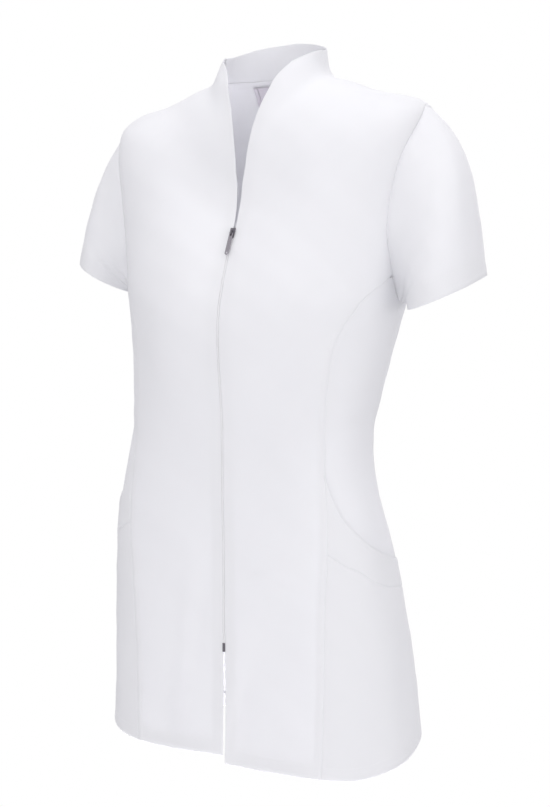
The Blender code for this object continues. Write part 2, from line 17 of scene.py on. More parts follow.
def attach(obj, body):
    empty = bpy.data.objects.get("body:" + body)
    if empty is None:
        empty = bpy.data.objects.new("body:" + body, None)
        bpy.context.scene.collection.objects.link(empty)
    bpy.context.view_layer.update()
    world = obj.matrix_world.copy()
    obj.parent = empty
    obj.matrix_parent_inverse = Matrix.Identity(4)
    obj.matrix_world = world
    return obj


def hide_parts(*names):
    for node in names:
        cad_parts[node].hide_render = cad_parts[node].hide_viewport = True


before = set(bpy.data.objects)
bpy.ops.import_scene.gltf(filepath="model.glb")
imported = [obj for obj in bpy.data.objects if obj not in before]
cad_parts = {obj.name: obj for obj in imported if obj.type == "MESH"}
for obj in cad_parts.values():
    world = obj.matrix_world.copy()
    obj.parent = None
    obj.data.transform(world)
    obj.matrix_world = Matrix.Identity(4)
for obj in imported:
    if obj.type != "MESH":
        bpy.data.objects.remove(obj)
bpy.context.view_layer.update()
scene = bpy.context.scene

# ---------------------------------------------------------------------------
# Studio: a camera at chest height to the wearer's left of the front, a pale
# floor where the wearer's feet would be, and broad soft light from all round.
# A small lamp just over the floor lights the inside of the jacket.
# ---------------------------------------------------------------------------
CAMERA_TURN, CAMERA_RISE, CAMERA_AWAY = math.radians(27.0), math.radians(3.8), 2.4
METRES_PER_PIXEL, PICTURE_HEIGHT, SENSOR = 0.00105, 807, 36.0
LOOKED_AT, AIMED_ASIDE = Vector((0.0, -0.03, -0.34)), 0.0126
FLOOR_HEIGHT, FLOOR_RADIUS = -1.40, 1.8

to_camera = Vector(
    (
        math.sin(CAMERA_TURN) * math.cos(CAMERA_RISE),
        -math.cos(CAMERA_TURN) * math.cos(CAMERA_RISE),
        math.sin(CAMERA_RISE),
    )
)
to_right = Vector((math.cos(CAMERA_TURN), math.sin(CAMERA_TURN), 0.0))


def add_object(name, data):
    made = bpy.data.objects.new(name, data)
    scene.collection.objects.link(made)
    return made


lens = bpy.data.cameras.new("camera")
lens.lens = CAMERA_AWAY / METRES_PER_PIXEL / PICTURE_HEIGHT * SENSOR
lens.sensor_width = SENSOR
camera = add_object("camera", lens)
camera.location = LOOKED_AT + to_camera * CAMERA_AWAY
aim = LOOKED_AT + to_right * AIMED_ASIDE - camera.location
camera.rotation_euler = aim.to_track_quat("-Z", "Y").to_euler()
scene.camera = camera
scene.view_settings.view_transform = "Standard"


class Wire:
    """A socket in a node tree. Sums on it add Math nodes, so a finish reads as a formula."""

    def __init__(self, tree, socket=None):
        self.tree = tree
        self.socket = socket

    def node(self, kind, settings=None, values=None, output=0):
        """Adds a node: its settings first, then the values or links of its sockets."""
        made = self.tree.nodes.new(kind)
        for name, value in (settings or {}).items():
            setattr(made, name, value)
        for name, value in (values or {}).items():
            if isinstance(value, Wire):
                self.tree.links.new(value.socket, made.inputs[name])
            else:
                made.inputs[name].default_value = value
        return Wire(self.tree, made.outputs[output] if made.outputs else None)

    def maths(self, operation, *others):
        return self.node("ShaderNodeMath", {"operation": operation}, dict(enumerate((self, *others))))

    def __add__(self, other):
        return self.maths("ADD", other)

    def __mul__(self, other):
        return self.maths("MULTIPLY", other)

    __radd__ = __add__
    __rmul__ = __mul__

    def wave(self, pitch):
        """Even ribs this far apart."""
        return (self * (2 * math.pi / pitch)).maths("SINE")

    def noise(self, scale, detail):
        return self.node("ShaderNodeTexNoise", None, {"Vector": self, "Scale": scale, "Detail": detail})

    def relief(self, strength, distance):
        return self.node("ShaderNodeBump", None, {"Strength": strength, "Distance": distance, "Height": self})

    def between(self, low, high):
        """A colour between two, by this share."""
        return self.node("ShaderNodeMix", {"data_type": "RGBA"}, {"Factor": self, 6: (*low, 1.0), 7: (*high, 1.0)}, 2)

    def feed(self, socket):
        self.tree.links.new(self.socket, socket)


LAMP_TONE = (1.0, 0.99, 0.985)


def lamp(name, place, size, power, tone=LAMP_TONE):
    """A soft box of a light, turned to the middle of the jacket."""
    light = bpy.data.lights.new(name, "AREA")
    light.shape = "DISK"
    light.size = size
    light.energy = power
    light.color = tone
    made = add_object(name, light)
    made.location = place
    made.rotation_euler = (LOOKED_AT - Vector(place)).to_track_quat("-Z", "Y").to_euler()


lamp("key", (0.9, -3.2, 1.7), 2.2, 29.0)
lamp("overhead", (0.0, 0.0, 2.6), 2.4, 29.0)
lamp("near side", (3.0, -1.2, 0.4), 2.0, 16.0)
lamp("far side", (-2.4, -2.4, 0.8), 2.0, 7.0)
lamp("low front", (1.3, -2.9, -0.9), 1.6, 10.0)
lamp("behind", (0.1, 2.7, 0.8), 2.0, 24.0, (1.0, 0.985, 1.0))
lamp("up inside", (0.0, 0.0, FLOOR_HEIGHT + 0.03), 0.34, 12.5, (0.99, 0.965, 1.0))

# The walls of the studio light the jacket all round, and the camera sees them
# as plain white paper.
WALL_TONE, WALL_LIGHT = (0.985, 0.975, 1.0), 0.67
world = bpy.data.worlds.new("studio")
scene.world = world
world.use_nodes = True
world.node_tree.nodes.clear()
start = Wire(world.node_tree)
walls = start.node("ShaderNodeBackground", None, {"Color": (*WALL_TONE, 1.0), "Strength": WALL_LIGHT})
paper = start.node("ShaderNodeBackground", None, {"Color": (1.0, 1.0, 1.0, 1.0), "Strength": 1.0})
seen = start.node("ShaderNodeLightPath", None, None, "Is Camera Ray")
sky = start.node("ShaderNodeMixShader", None, {0: seen, 1: walls, 2: paper})
start.node("ShaderNodeOutputWorld", None, {"Surface": sky})


def new_finish(name, colour, roughness, **constants):
    """A material on a Principled shader with these plain values, and the first wire of its tree."""
    made = bpy.data.materials.new(name)
    made.use_nodes = True
    shader = made.node_tree.nodes["Principled BSDF"]
    shader.inputs["Base Color"].default_value = (*colour, 1.0)
    shader.inputs["Roughness"].default_value = roughness
    for socket, value in constants.items():
        shader.inputs[socket.replace("_", " ")].default_value = value
    return made, shader.inputs, Wire(made.node_tree)


floor_finish, sockets, wire = new_finish("painted floor", (0.82, 0.82, 0.83), 0.9)
place = wire.node("ShaderNodeTexCoord", None, None, "Object")
(0.85 + place.noise(30.0, 3.0) * 0.1).feed(sockets["Roughness"])
floor_mesh = bpy.data.meshes.new("floor")
rim = [
    (FLOOR_RADIUS * math.cos(math.radians(turn)), FLOOR_RADIUS * math.sin(math.radians(turn)), FLOOR_HEIGHT)
    for turn in range(0, 360, 5)
]
floor_mesh.from_pydata(rim, [], [tuple(range(len(rim)))])
floor_mesh.materials.append(floor_finish)
add_object("floor", floor_mesh)

# ---------------------------------------------------------------------------
# Fronts: two panels of fine white twill, each cut in one with its stand collar.
# Their inner edges are folded back along the zip and the open neck, and their
# outer edges are sewn to the back at the shoulder, the sleeve and the side.
# ---------------------------------------------------------------------------
CLOTH = 0.00045
LEFT, RIGHT = 1, -1
SIDES = ((LEFT, "left"), (RIGHT, "right"))
HIP_TILT, TILT_STARTS, TILT_IS_FULL = 0.10, -0.30, -0.47
SHOULDER_TILT, SHOULDER_TILT_STARTS, SHOULDER_TILT_IS_FULL = 0.04, -0.26, -0.12
RIDGE = 0.05
SHOULDER_SEAM, SIDE_SEAM, LOW_SIDE_SEAM, NECK_SEAM = 90.0, 92.0, 103.0, 2.35
ARMHOLE_TOP, ARMHOLE_BOTTOM = 4.9, 7.6
PRINCESS_PHI, UNDER_PRINCESS_PHI, PRINCESS_GUESS = 128.0, 131.0, 60.0
WAIST_ROW, MOUTH_ROW, HEM_ROW = 8.6, 10.2, 13.36
ZIP_HALF_GAP = 0.0016

# The skin that the cloth follows: heights of each ring at the front, side and
# back, its half width, its reach forward and back from the middle, how square
# its front and back are, how it falls from the side to the front and back, and
# how far the stance sways it to the wearer's left.
Ring = namedtuple(
    "Ring", "name front_z side_z back_z half_width front back front_power back_power fall sway"
)
RINGS = (
    Ring("collar edge", 0.012, 0.033, 0.044, 0.0545, 0.0447, 0.049, 2.0, 2.0, 2.0, 0.0),
    Ring("collar", -0.014, 0.016, 0.025, 0.0575, 0.0648, 0.053, 2.0, 2.0, 2.0, 0.0),
    Ring("neck", -0.045, -0.001, 0.006, 0.065, 0.0746, 0.057, 2.0, 2.0, 2.0, 0.0),
    Ring("neck root", -0.07, -0.008, -0.022, 0.087, 0.0788, 0.065, 2.1, 2.1, 1.7, 0.0),
    Ring("mid shoulder", -0.1, -0.022, -0.06, 0.125, 0.0809, 0.074, 2.2, 2.2, 1.5, 0.0),
    Ring("shoulder", -0.14, -0.041, -0.115, 0.174, 0.0869, 0.084, 2.4, 2.4, 1.3, 0.0),
    Ring("upper chest", -0.175, -0.11, -0.165, 0.168, 0.104, 0.089, 2.4, 2.4, 1.5, 0.0),
    Ring("underarm", -0.212, -0.2, -0.212, 0.154, 0.119, 0.086, 2.4, 2.4, 2.0, 0.0),
    Ring("bust", -0.25, -0.25, -0.25, 0.147, 0.1275, 0.078, 2.3, 2.3, 2.0, 0.0),
    Ring("under bust", -0.31, -0.31, -0.31, 0.136, 0.1285, 0.062, 2.3, 2.3, 2.0, -0.003),
    Ring("waist", -0.385, -0.385, -0.385, 0.1325, 0.117, 0.04, 2.6, 2.3, 2.0, -0.008),
    Ring("high hip", -0.465, -0.465, -0.465, 0.149, 0.115, 0.047, 2.8, 2.3, 2.0, -0.007),
    Ring("hip", -0.56, -0.56, -0.56, 0.162, 0.116, 0.071, 2.8, 2.3, 2.0, -0.004),
    Ring("thigh", -0.66, -0.66, -0.66, 0.1685, 0.117, 0.085, 2.8, 2.3, 2.0, -0.002),
    Ring("below the hem", -0.78, -0.78, -0.78, 0.174, 0.117, 0.09, 2.8, 2.3, 2.0, -0.002),
)

# Forms and creases of the cloth: where each is, how far it reaches along and
# across, how its long way leans from level, and how far it stands out.
Fold = namedtuple("Fold", "name angle station along across lean height")
FOLDS = (
    Fold("bust left", 34.0, 7.7, 0.056, 0.06, 0.0, 0.006),
    Fold("bust right", -34.0, 7.7, 0.056, 0.06, 0.0, 0.006),
    Fold("break under right bust", -52.0, 8.0, 0.05, 0.024, 35.0, -0.0026),
    Fold("break under left bust", 48.0, 8.25, 0.046, 0.024, -30.0, -0.002),
    Fold("right skirt", -34.0, 12.7, 0.09, 0.02, 84.0, -0.003),
    Fold("left skirt", 14.0, 12.9, 0.07, 0.016, 76.0, -0.0024),
    Fold("left skirt side", 68.0, 12.9, 0.08, 0.022, 88.0, -0.003),
    Fold("right skirt side", -72.0, 12.9, 0.08, 0.022, 92.0, -0.003),
    Fold("small of the back", 180.0, 9.7, 0.06, 0.014, 0.0, -0.003),
    Fold("back left", 150.0, 12.6, 0.1, 0.024, 86.0, -0.004),
    Fold("back right", -148.0, 12.6, 0.1, 0.024, 94.0, -0.004),
    Fold("shoulder blade left", 146.0, 6.7, 0.06, 0.045, 0.0, 0.003),
    Fold("shoulder blade right", -146.0, 6.7, 0.06, 0.045, 0.0, 0.003),
    Fold("drag below left waist", 26.0, 11.45, 0.034, 0.006, 14.0, -0.0007),
    Fold("drag beside it", 38.0, 11.52, 0.022, 0.005, -22.0, -0.0005),
    Fold("drag from left shoulder", 56.0, 5.5, 0.046, 0.011, -58.0, -0.0009),
    Fold("drag from right shoulder", -58.0, 5.6, 0.04, 0.01, 62.0, -0.0009),
    Fold("strain at left bust", 62.0, 7.35, 0.03, 0.006, -48.0, -0.0008),
    Fold("strain at right bust", -60.0, 7.6, 0.036, 0.007, 40.0, -0.0008),
    Fold("right front streak", -16.0, 12.1, 0.07, 0.012, 80.0, -0.001),
    Fold("right front ridge", -26.0, 12.2, 0.06, 0.01, 84.0, 0.0008),
    Fold("beside the vent", 8.0, 13.0, 0.028, 0.008, 72.0, -0.001),
    Fold("left waist side", 76.0, 9.6, 0.03, 0.009, 12.0, -0.0011),
    Fold("right waist side", -78.0, 9.75, 0.034, 0.01, -10.0, -0.0011),
    Fold("back waist left", 152.0, 9.55, 0.044, 0.009, 16.0, -0.0014),
    Fold("back waist right", -156.0, 9.85, 0.038, 0.008, -20.0, -0.0012),
    Fold("back neck", 176.0, 4.2, 0.046, 0.01, 8.0, -0.0008),
    Fold("back armhole left", 124.0, 6.1, 0.05, 0.011, 74.0, -0.0012),
    Fold("back armhole right", -126.0, 6.3, 0.044, 0.01, -70.0, -0.0011),
)

# Seams and edges of the left half. The right half mirrors them.
NECKLINE = (  # row, angle
    (0.00, 47.0), (0.20, 36.6), (0.47, 29.5), (0.81, 24.8), (1.42, 17.0), (2.10, 11.6),
    (2.90, 7.7), (3.60, 5.1), (3.90, 4.3), (4.30, 2.6), (4.70, 1.9), (5.10, 1.3), (5.60, 1.0),
)  # fmt: skip
COLLAR_TOP = ((0.0, 0.47), (55.0, 0.47), (90.0, 0.45), (130.0, 0.27), (180.0, 0.17))  # angle, station
ARMHOLE = (  # phi round the armhole from the shoulder down, front angle, back angle
    (0.0, 90.0, 90.0), (20.0, 88.0, 92.5), (35.0, 84.5, 96.0), (47.0, 81.0, 99.5), (60.0, 77.0, 102.5),
    (75.0, 75.0, 104.5), (90.0, 74.5, 105.5), (105.0, 75.5, 105.5), (120.0, 79.5, 104.0), (140.0, 85.2, 100.5),
    (160.0, 89.3, 96.0), (180.0, 92.0, 92.0),
)  # fmt: skip
PRINCESS = (  # station, angle
    (7.10, 81.6), (7.30, 74.0), (7.50, 68.7), (7.80, 65.0), (8.10, 61.8), (8.45, 59.6), (9.00, 59.8),
    (9.60, 62.4), (10.20, 63.5), (11.10, 60.0), (11.60, 56.0), (12.40, 52.0), (13.40, 49.0),
)  # fmt: skip
POCKET_MOUTH = (  # angle, station; past the side seam it only guides the rows of the back
    (63.5, 10.20), (65.5, 10.45), (68.0, 10.67), (71.5, 10.83), (76.0, 10.965), (82.5, 11.08), (89.0, 11.145),
    (96.5, 11.20), (103.0, 11.22), (128.0, 10.95), (180.0, 10.80),
)  # fmt: skip
HEM = (  # angle, station
    (0.0, 13.36), (50.0, 13.375), (58.0, 13.37), (66.0, 13.335), (73.0, 13.285), (82.0, 13.23), (90.0, 13.17),
    (98.0, 13.10), (104.0, 13.055), (112.0, 13.14), (122.0, 13.27), (135.0, 13.35), (180.0, 13.38),
)  # fmt: skip
CENTRE_SWING = (  # station, angle: the zipped front swings over the wearer's left at the waist
    (6.0, 0.0), (7.1, -0.2), (7.75, -0.5), (8.25, 0.1), (8.65, 1.3), (9.0, 2.5), (9.4, 3.7), (9.8, 4.3),
    (10.15, 4.3), (10.6, 3.6), (11.2, 2.8), (11.7, 2.2), (12.26, 1.5), (12.9, 1.0), (13.4, 0.3),
)  # fmt: skip
LEFT_FRONT_DROP, DROP_FADES = 0.035, 50.0
RIGHT_COLLAR_RISE, RISE_ANGLE, RISE_FADES = 0.17, -128.0, 26.0

# How an edge is finished: how deep the cloth dips into it, and how much of it
# is turned in behind. Seams are pressed open; free edges are folded.
Edge = namedtuple("Edge", "sink turned")
SEAM = Edge(0.00042, 0.0085)
FOLDED_EDGE = Edge(0.0, 0.0120)
BODY_HEM = Edge(0.0, 0.0150)
FOLD_ROUND = ((-0.00022, 0.0001), (-0.00030, 0.00035), (-0.00010, 0.0006), (0.0006, 0.0007), (0.0020, 0.0007))
TURNED_STEP, TURNED_SHARE = 0.003, 0.985  # the turned cloth never reaches the far edge of its piece
NEAR_EDGE = np.array([0.0, 0.0005, 0.0011, 0.0020, 0.0034])
DIP_WIDTH = 0.0012
GRID_STEP = 0.0036

# Slight unevenness all over: waves this long (metres) and this high, in fixed
# directions, that cross each other.
UNEVEN_WAVES = ((0.091, 0.00034), (0.067, 0.00030), (0.049, 0.00024), (0.036, 0.00015), (0.027, 0.00008))


def even(first, last, steps):
    return [first + (last - first) * step / steps for step in range(steps + 1)]


def through(table, key):
    """Reads a smooth curve through a table whose first column is the key."""
    rows = np.array(table)
    knots, values = rows[:, 0], rows[:, 1:]
    key = np.clip(np.asarray(key, float), knots[0], knots[-1])
    step = np.diff(knots)
    rise = np.diff(values, axis=0) / step[:, None]
    slope = np.empty_like(values)
    slope[0], slope[-1] = rise[0], rise[-1]
    slope[1:-1] = (rise[:-1] * step[1:, None] + rise[1:] * step[:-1, None]) / (step[1:] + step[:-1])[:, None]
    at = np.clip(np.searchsorted(knots, key, side="right") - 1, 0, len(step) - 1)
    width = step[at][..., None]
    t = (key - knots[at])[..., None] / width
    read = (
        (2 * t**3 - 3 * t**2 + 1) * values[at]
        + (t**3 - 2 * t**2 + t) * width * slope[at]
        + (3 * t**2 - 2 * t**3) * values[at + 1]
        + (t**3 - t**2) * width * slope[at + 1]
    )
    return read[..., 0] if values.shape[1] == 1 else read


def bends_of(measures):
    """The bend of a curve of even bend at each of its rings, with none at its ends."""
    count = len(measures)
    links = np.diag(np.full(count, 4.0)) + np.eye(count, k=1) + np.eye(count, k=-1)
    links[[0, -1]] = np.eye(count)[[0, -1]]
    turns = np.zeros_like(measures)
    turns[1:-1] = 6 * (measures[:-2] - 2 * measures[1:-1] + measures[2:])
    return np.linalg.solve(links, turns)


RING_MEASURES = np.array([ring[1:] for ring in RINGS])
RING_BEND = bends_of(RING_MEASURES)


def ring_at(station):
    """The measures of the skin at a station, on a curve of even bend through the rings."""
    station = np.clip(np.asarray(station, float), 0, len(RINGS) - 1)
    at = np.minimum(station.astype(int), len(RINGS) - 2)
    t = (station - at)[..., None]
    low, high = RING_MEASURES[at], RING_MEASURES[at + 1]
    return low + t * (high - low - (1 - t) * ((2 - t) * RING_BEND[at] + (1 + t) * RING_BEND[at + 1]) / 6)


def ease(start, end, value):
    t = np.clip((value - start) / (end - start), 0, 1)
    return t * t * (3 - 2 * t)


def signed(angle):
    """An angle brought to between -180 and 180 degrees."""
    return (np.asarray(angle, float) + 180) % 360 - 180


def hill(distance, width):
    return np.exp(-((distance / width) ** 2))


def crease_height(crease, sideways, upward):
    """How far a fold stands out at places this far round and up from its middle."""
    lean = math.radians(crease.lean)
    far = sideways * math.cos(lean) + upward * math.sin(lean)
    wide = upward * math.cos(lean) - sideways * math.sin(lean)
    return crease.height * np.exp(-((far / crease.along) ** 2) - (wide / crease.across) ** 2)


def bare_skin(angle, station):
    front_z, side_z, back_z, half_width, front, back, front_power, back_power, fall, sway = np.moveaxis(
        ring_at(station), -1, 0
    )
    turn = np.radians(angle)
    ahead, aside = np.cos(turn), np.sin(turn)
    facing = ahead >= 0
    middle = (back - front) / 2
    depth = (front + back) / 2
    power = np.where(facing, front_power, back_power)
    reach = ((np.abs(ahead) / depth) ** power + (np.abs(aside) / half_width) ** power) ** (-1 / power)
    x, y = sway + reach * aside, middle - reach * ahead
    drop = ((ahead**2 + RIDGE) ** (fall / 2) - RIDGE ** (fall / 2)) / ((1 + RIDGE) ** (fall / 2) - RIDGE ** (fall / 2))
    z = side_z + (np.where(facing, front_z, back_z) - side_z) * drop
    z = z + SHOULDER_TILT * x * ease(SHOULDER_TILT_STARTS, SHOULDER_TILT_IS_FULL, z)
    z = z - HIP_TILT * x * ease(TILT_STARTS, TILT_IS_FULL, z)
    return np.stack([x, y, z], -1)


def skin(angle, station):
    """The middle of the cloth at a place, with its folds."""
    angle, station = np.broadcast_arrays(np.asarray(angle, float), np.asarray(station, float))
    point = bare_skin(angle, station)
    lift = np.zeros(angle.shape)
    for fold in FOLDS:
        centre = bare_skin(np.array(fold.angle), np.array(fold.station))
        sideways = np.radians(signed(angle - fold.angle)) * math.hypot(centre[0], centre[1])
        lift += crease_height(fold, sideways, point[..., 2] - centre[2])
    turn = np.radians(angle)
    point[..., 0] += lift * np.sin(turn)
    point[..., 1] -= lift * np.cos(turn)
    return point


def outward(angle, station):
    """The way out of the skin at a place."""
    round_body = skin(angle + 0.4, station) - skin(angle - 0.4, station)
    down = skin(angle, station + 0.02) - skin(angle, station - 0.02)
    normal = np.cross(down, round_body)
    return normal / np.linalg.norm(normal, axis=-1, keepdims=True)


def swing(row):
    """Angle of the middle of the closed front."""
    return float(through(CENTRE_SWING, row))


def station_of(row, angle):
    """Where a row of the grid lies at an angle: collar, pocket mouth and hem bend the rows."""
    turned = np.abs(signed(angle))
    if row < NECK_SEAM:
        top = through(COLLAR_TOP, turned) - RIGHT_COLLAR_RISE * hill(signed(angle - RISE_ANGLE), RISE_FADES)
        return top + (NECK_SEAM - top) * row / NECK_SEAM
    if row < WAIST_ROW:
        return np.full(turned.shape, float(row))
    mouth = through(POCKET_MOUTH, turned)
    if row < MOUTH_ROW:
        return WAIST_ROW + (mouth - WAIST_ROW) * (row - WAIST_ROW) / (MOUTH_ROW - WAIST_ROW)
    side = np.where(signed(angle) >= swing(row), LEFT, RIGHT)
    hem = through(HEM, turned) + side * LEFT_FRONT_DROP * (1 - ease(0, DROP_FADES, turned))
    return mouth + (hem - mouth) * (row - MOUTH_ROW) / (HEM_ROW - MOUTH_ROW)


ARMHOLE_MIDDLE, ARMHOLE_HALF = (ARMHOLE_TOP + ARMHOLE_BOTTOM) / 2, (ARMHOLE_BOTTOM - ARMHOLE_TOP) / 2


def armhole_station(phi):
    return ARMHOLE_MIDDLE - ARMHOLE_HALF * np.cos(np.radians(phi))


def armhole_angle(station, half):
    """Angle of the armhole at a station, on its front half (0) or its back half (1)."""
    down = max(-1, min(1, (ARMHOLE_MIDDLE - station) / ARMHOLE_HALF))
    return float(through(ARMHOLE, math.degrees(math.acos(down)))[half])


PRINCESS_TOP, SIDE_TOP = armhole_station(PRINCESS_PHI), armhole_station(UNDER_PRINCESS_PHI)


def half_depth(row):
    """Half the depth of the body, from the zip to the back."""
    ring = Ring("", *ring_at(row))
    return (ring.front + ring.back) / 2


def centre_front(row):
    """Angle of the front edge: the neckline, then a straight edge beside the zip."""
    if row < NECKLINE[-1][0]:
        return float(through(NECKLINE, row))
    return math.degrees(math.atan2(ZIP_HALF_GAP, half_depth(row)))


def princess_angle(row, where=station_of, rounds=12):
    """Angle of the princess seam on a row, found in rounds from a first guess."""
    angle = PRINCESS_GUESS
    for _ in range(rounds):
        angle = float(through(PRINCESS, float(where(row, angle))))
    return angle


def front_outer_edge(row):
    if row <= ARMHOLE_TOP:
        return SHOULDER_SEAM
    if row <= PRINCESS_TOP + 1e-6:
        return armhole_angle(row, 0)
    return princess_angle(row)


def steps_along(points):
    """How far each point of a line is from its start."""
    return np.concatenate([[0.0], np.cumsum(np.linalg.norm(np.diff(points, axis=0), axis=1))])


def read_line(places, reach, line):
    """The points of a line that are these distances along it."""
    return np.stack([np.interp(places, reach, line[:, axis]) for axis in range(3)], -1)


def rows_between(corners, angle, side):
    """Rows a step apart down the cloth at an angle, with one on each corner."""
    rows = [corners[0]]
    for first, last in zip(corners, corners[1:]):
        probe = even(first, last, 24)
        down = skin(side * angle, np.array([float(station_of(row, side * angle)) for row in probe]))
        reach = steps_along(down)
        count = max(1, round(reach[-1] / GRID_STEP))
        rows += list(np.interp(even(0, reach[-1], count)[1:], reach, probe))
    return rows


def grid_between(rows, first_edge, last_edge, count, side, closer=NEAR_EDGE, where=station_of):
    """Angles and stations of a grid, a row at a time, with its columns drawn closer at the two edges."""
    angles = []
    for row in rows:
        start, end = first_edge(row), last_edge(row)
        probe = np.linspace(start, end, 13)
        width = steps_along(skin(probe, where(row, probe)))[-1]
        near = closer / width
        parts = np.concatenate([near, np.linspace(near[-1], 1 - near[-1], count + 1)[1:-1], 1 - near[::-1]])
        angles.append(start + (end - start) * parts)
    angles = np.array(angles)
    if side == RIGHT:
        angles = -angles[:, ::-1]
    return angles, np.array([where(row, along) for row, along in zip(rows, angles)])


def unevenness(points):
    """How far the cloth stands off its even form, from a few crossing waves."""
    height = np.zeros(points.shape[:-1])
    for number, (length, size) in enumerate(UNEVEN_WAVES):
        turn = 2.4 * number
        way = np.array([math.cos(turn), 0.7 * math.sin(turn), 0.6 + 0.4 * math.sin(2.1 * turn)])
        height += size * np.sin(points @ way * 2 * math.pi / length + 1.7 * number)
    return height


def folded_back(points, normals, edge):
    """The cloth turned in behind the first column of a grid: its points and normals, from the fold on."""
    fold = np.array(FOLD_ROUND)
    lengths = np.concatenate([fold[:, 0], np.arange(1.5 * TURNED_STEP, edge.turned, TURNED_STEP), [edge.turned]])
    depths = np.full(len(lengths), fold[-1, 1])
    depths[: len(fold)] = fold[:, 1]
    turned, facing = [], []
    for line, ways in zip(points, normals):
        reach = steps_along(line)
        inside = np.clip(lengths, 0, reach[-1] * TURNED_SHARE)
        beyond = (line[0] - line[2]) / np.linalg.norm(line[0] - line[2])
        turned.append(read_line(inside, reach, line) - beyond * np.minimum(lengths, 0)[:, None])
        facing.append(read_line(inside, reach, ways))
    return np.array(turned) - np.array(facing) * (depths + edge.sink)[:, None], np.array(facing)


def distance_in(points):
    """Distances from the first column of a grid, along each row."""
    return np.array([steps_along(line) for line in points])


def distance_back(points):
    """Distances from the last column of a grid, along each row."""
    return distance_in(points[:, ::-1])[:, ::-1]


def crosswise(grid):
    """A grid with its rows as columns."""
    return grid.transpose(1, 0, 2)


def distance_down(points):
    """Distances from the first row of a grid, down each column."""
    return distance_in(crosswise(points)).T


def add_piece(name, points, finish, closed=False, cut=None):
    """A thin shell of cloth through a grid of points, with its cut laid out as a UV map in metres."""
    rows, columns = points.shape[:2]
    at = np.arange(rows * columns).reshape(rows, columns)
    beside = np.roll(at, -1, axis=1) if closed else at[:, 1:]
    here = at if closed else at[:, :-1]
    faces = np.stack([here[:-1], here[1:], beside[1:], beside[:-1]], -1).reshape(-1, 4)
    mesh = bpy.data.meshes.new(name)
    mesh.from_pydata(points.reshape(-1, 3).tolist(), [], faces.tolist())
    if cut is None:
        cut = np.stack([distance_in(points), distance_down(points)], -1)
    flat = mesh.uv_layers.new(name="cut")
    loops = np.empty(len(mesh.loops), np.int32)
    mesh.loops.foreach_get("vertex_index", loops)
    flat.data.foreach_set("uv", cut.reshape(-1, 2)[loops].astype(np.float32).ravel())
    mesh.materials.append(finish)
    mesh.shade_smooth()
    made = add_object(name, mesh)
    wall = made.modifiers.new("Wall", "SOLIDIFY")
    wall.thickness = CLOTH
    wall.offset = 0.0
    return made


def cut_size(points):
    """Width, length and area of the flat cut that a grid of cloth came from."""
    one, two = points[1:, 1:] - points[:-1, :-1], points[1:, :-1] - points[:-1, 1:]
    area = float(np.linalg.norm(np.cross(one, two), axis=-1).sum() / 2)
    width, length = float(distance_in(points).max()), float(distance_down(points).max())
    return (width, length), min(area, width * length)


def stand_for(node, made, whole):
    """Hides the frame's node that a piece of cloth stands for and puts the piece on the jacket's body; the size of its
    flat cut is worked out but not kept.
    """
    flat_size, area = cut_size(whole)
    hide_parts(node)
    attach(made, "jacket")


# The face of a panel as sewn: the middle of its cloth and the ways out of it.
Panel = namedtuple("Panel", "points normals")


def sew_panel(node, grid, finish, first=None, last=None, top=None, bottom=None, lift=0.0, slot="white_cloth"):
    """A cut piece on the skin, finished on its four edges, that stands for its node of the frame."""
    normals, even_form = outward(*grid), skin(*grid)
    flat = even_form + normals * (unevenness(even_form) + lift)[..., None]
    shown = flat.copy()
    for edge, distance in (
        (first, distance_in(flat)),
        (last, distance_back(flat)),
        (top, distance_down(flat)),
        (bottom, distance_down(flat[::-1])[::-1]),
    ):
        if edge is not None and edge.sink:
            shown -= normals * (edge.sink * hill(distance, DIP_WIDTH))[..., None]
    # The two long edges are turned in first, and the top and bottom over them.
    whole, level, facing = shown, flat, normals
    for edge, way in ((first, 1), (last, -1)):
        if edge is not None:
            turned, ways = folded_back(flat[:, ::way], normals[:, ::way], edge)
            whole, level, facing = (
                np.concatenate([added[:, ::-way], grid][::way], 1)
                for added, grid in ((turned, whole), (turned, level), (ways, facing))
            )
    for edge, way in ((top, 1), (bottom, -1)):
        if edge is not None:
            turned, _ = folded_back(crosswise(level[::way]), crosswise(facing[::way]), edge)
            whole = np.concatenate([crosswise(turned)[::-way], whole][::way], 0)
    stand_for(node, add_piece(node, whole, finish), whole)
    return Panel(shown, normals)


# White cloth: a fine twill whose ribs climb to the right, a little uneven in
# its threads, with the soft sheen of brushed cotton.
TWILL_PITCH, THREAD_PITCH = 0.00085, 0.00042
LETS_THROUGH, GLOW_TONE = 0.15, (0.90, 0.895, 0.92)
white_cloth, sockets, wire = new_finish(
    "white cloth", (0.87, 0.875, 0.90), 0.88, Sheen_Weight=0.12, Sheen_Roughness=0.5, Specular_IOR_Level=0.25
)


def cut_map(wire):
    """The coordinates of the flat cut, and how far across and along it a place is."""
    cut = wire.node("ShaderNodeUVMap", {"uv_map": "cut"})
    return cut, *(wire.node("ShaderNodeSeparateXYZ", None, {0: cut}, axis) for axis in (0, 1))


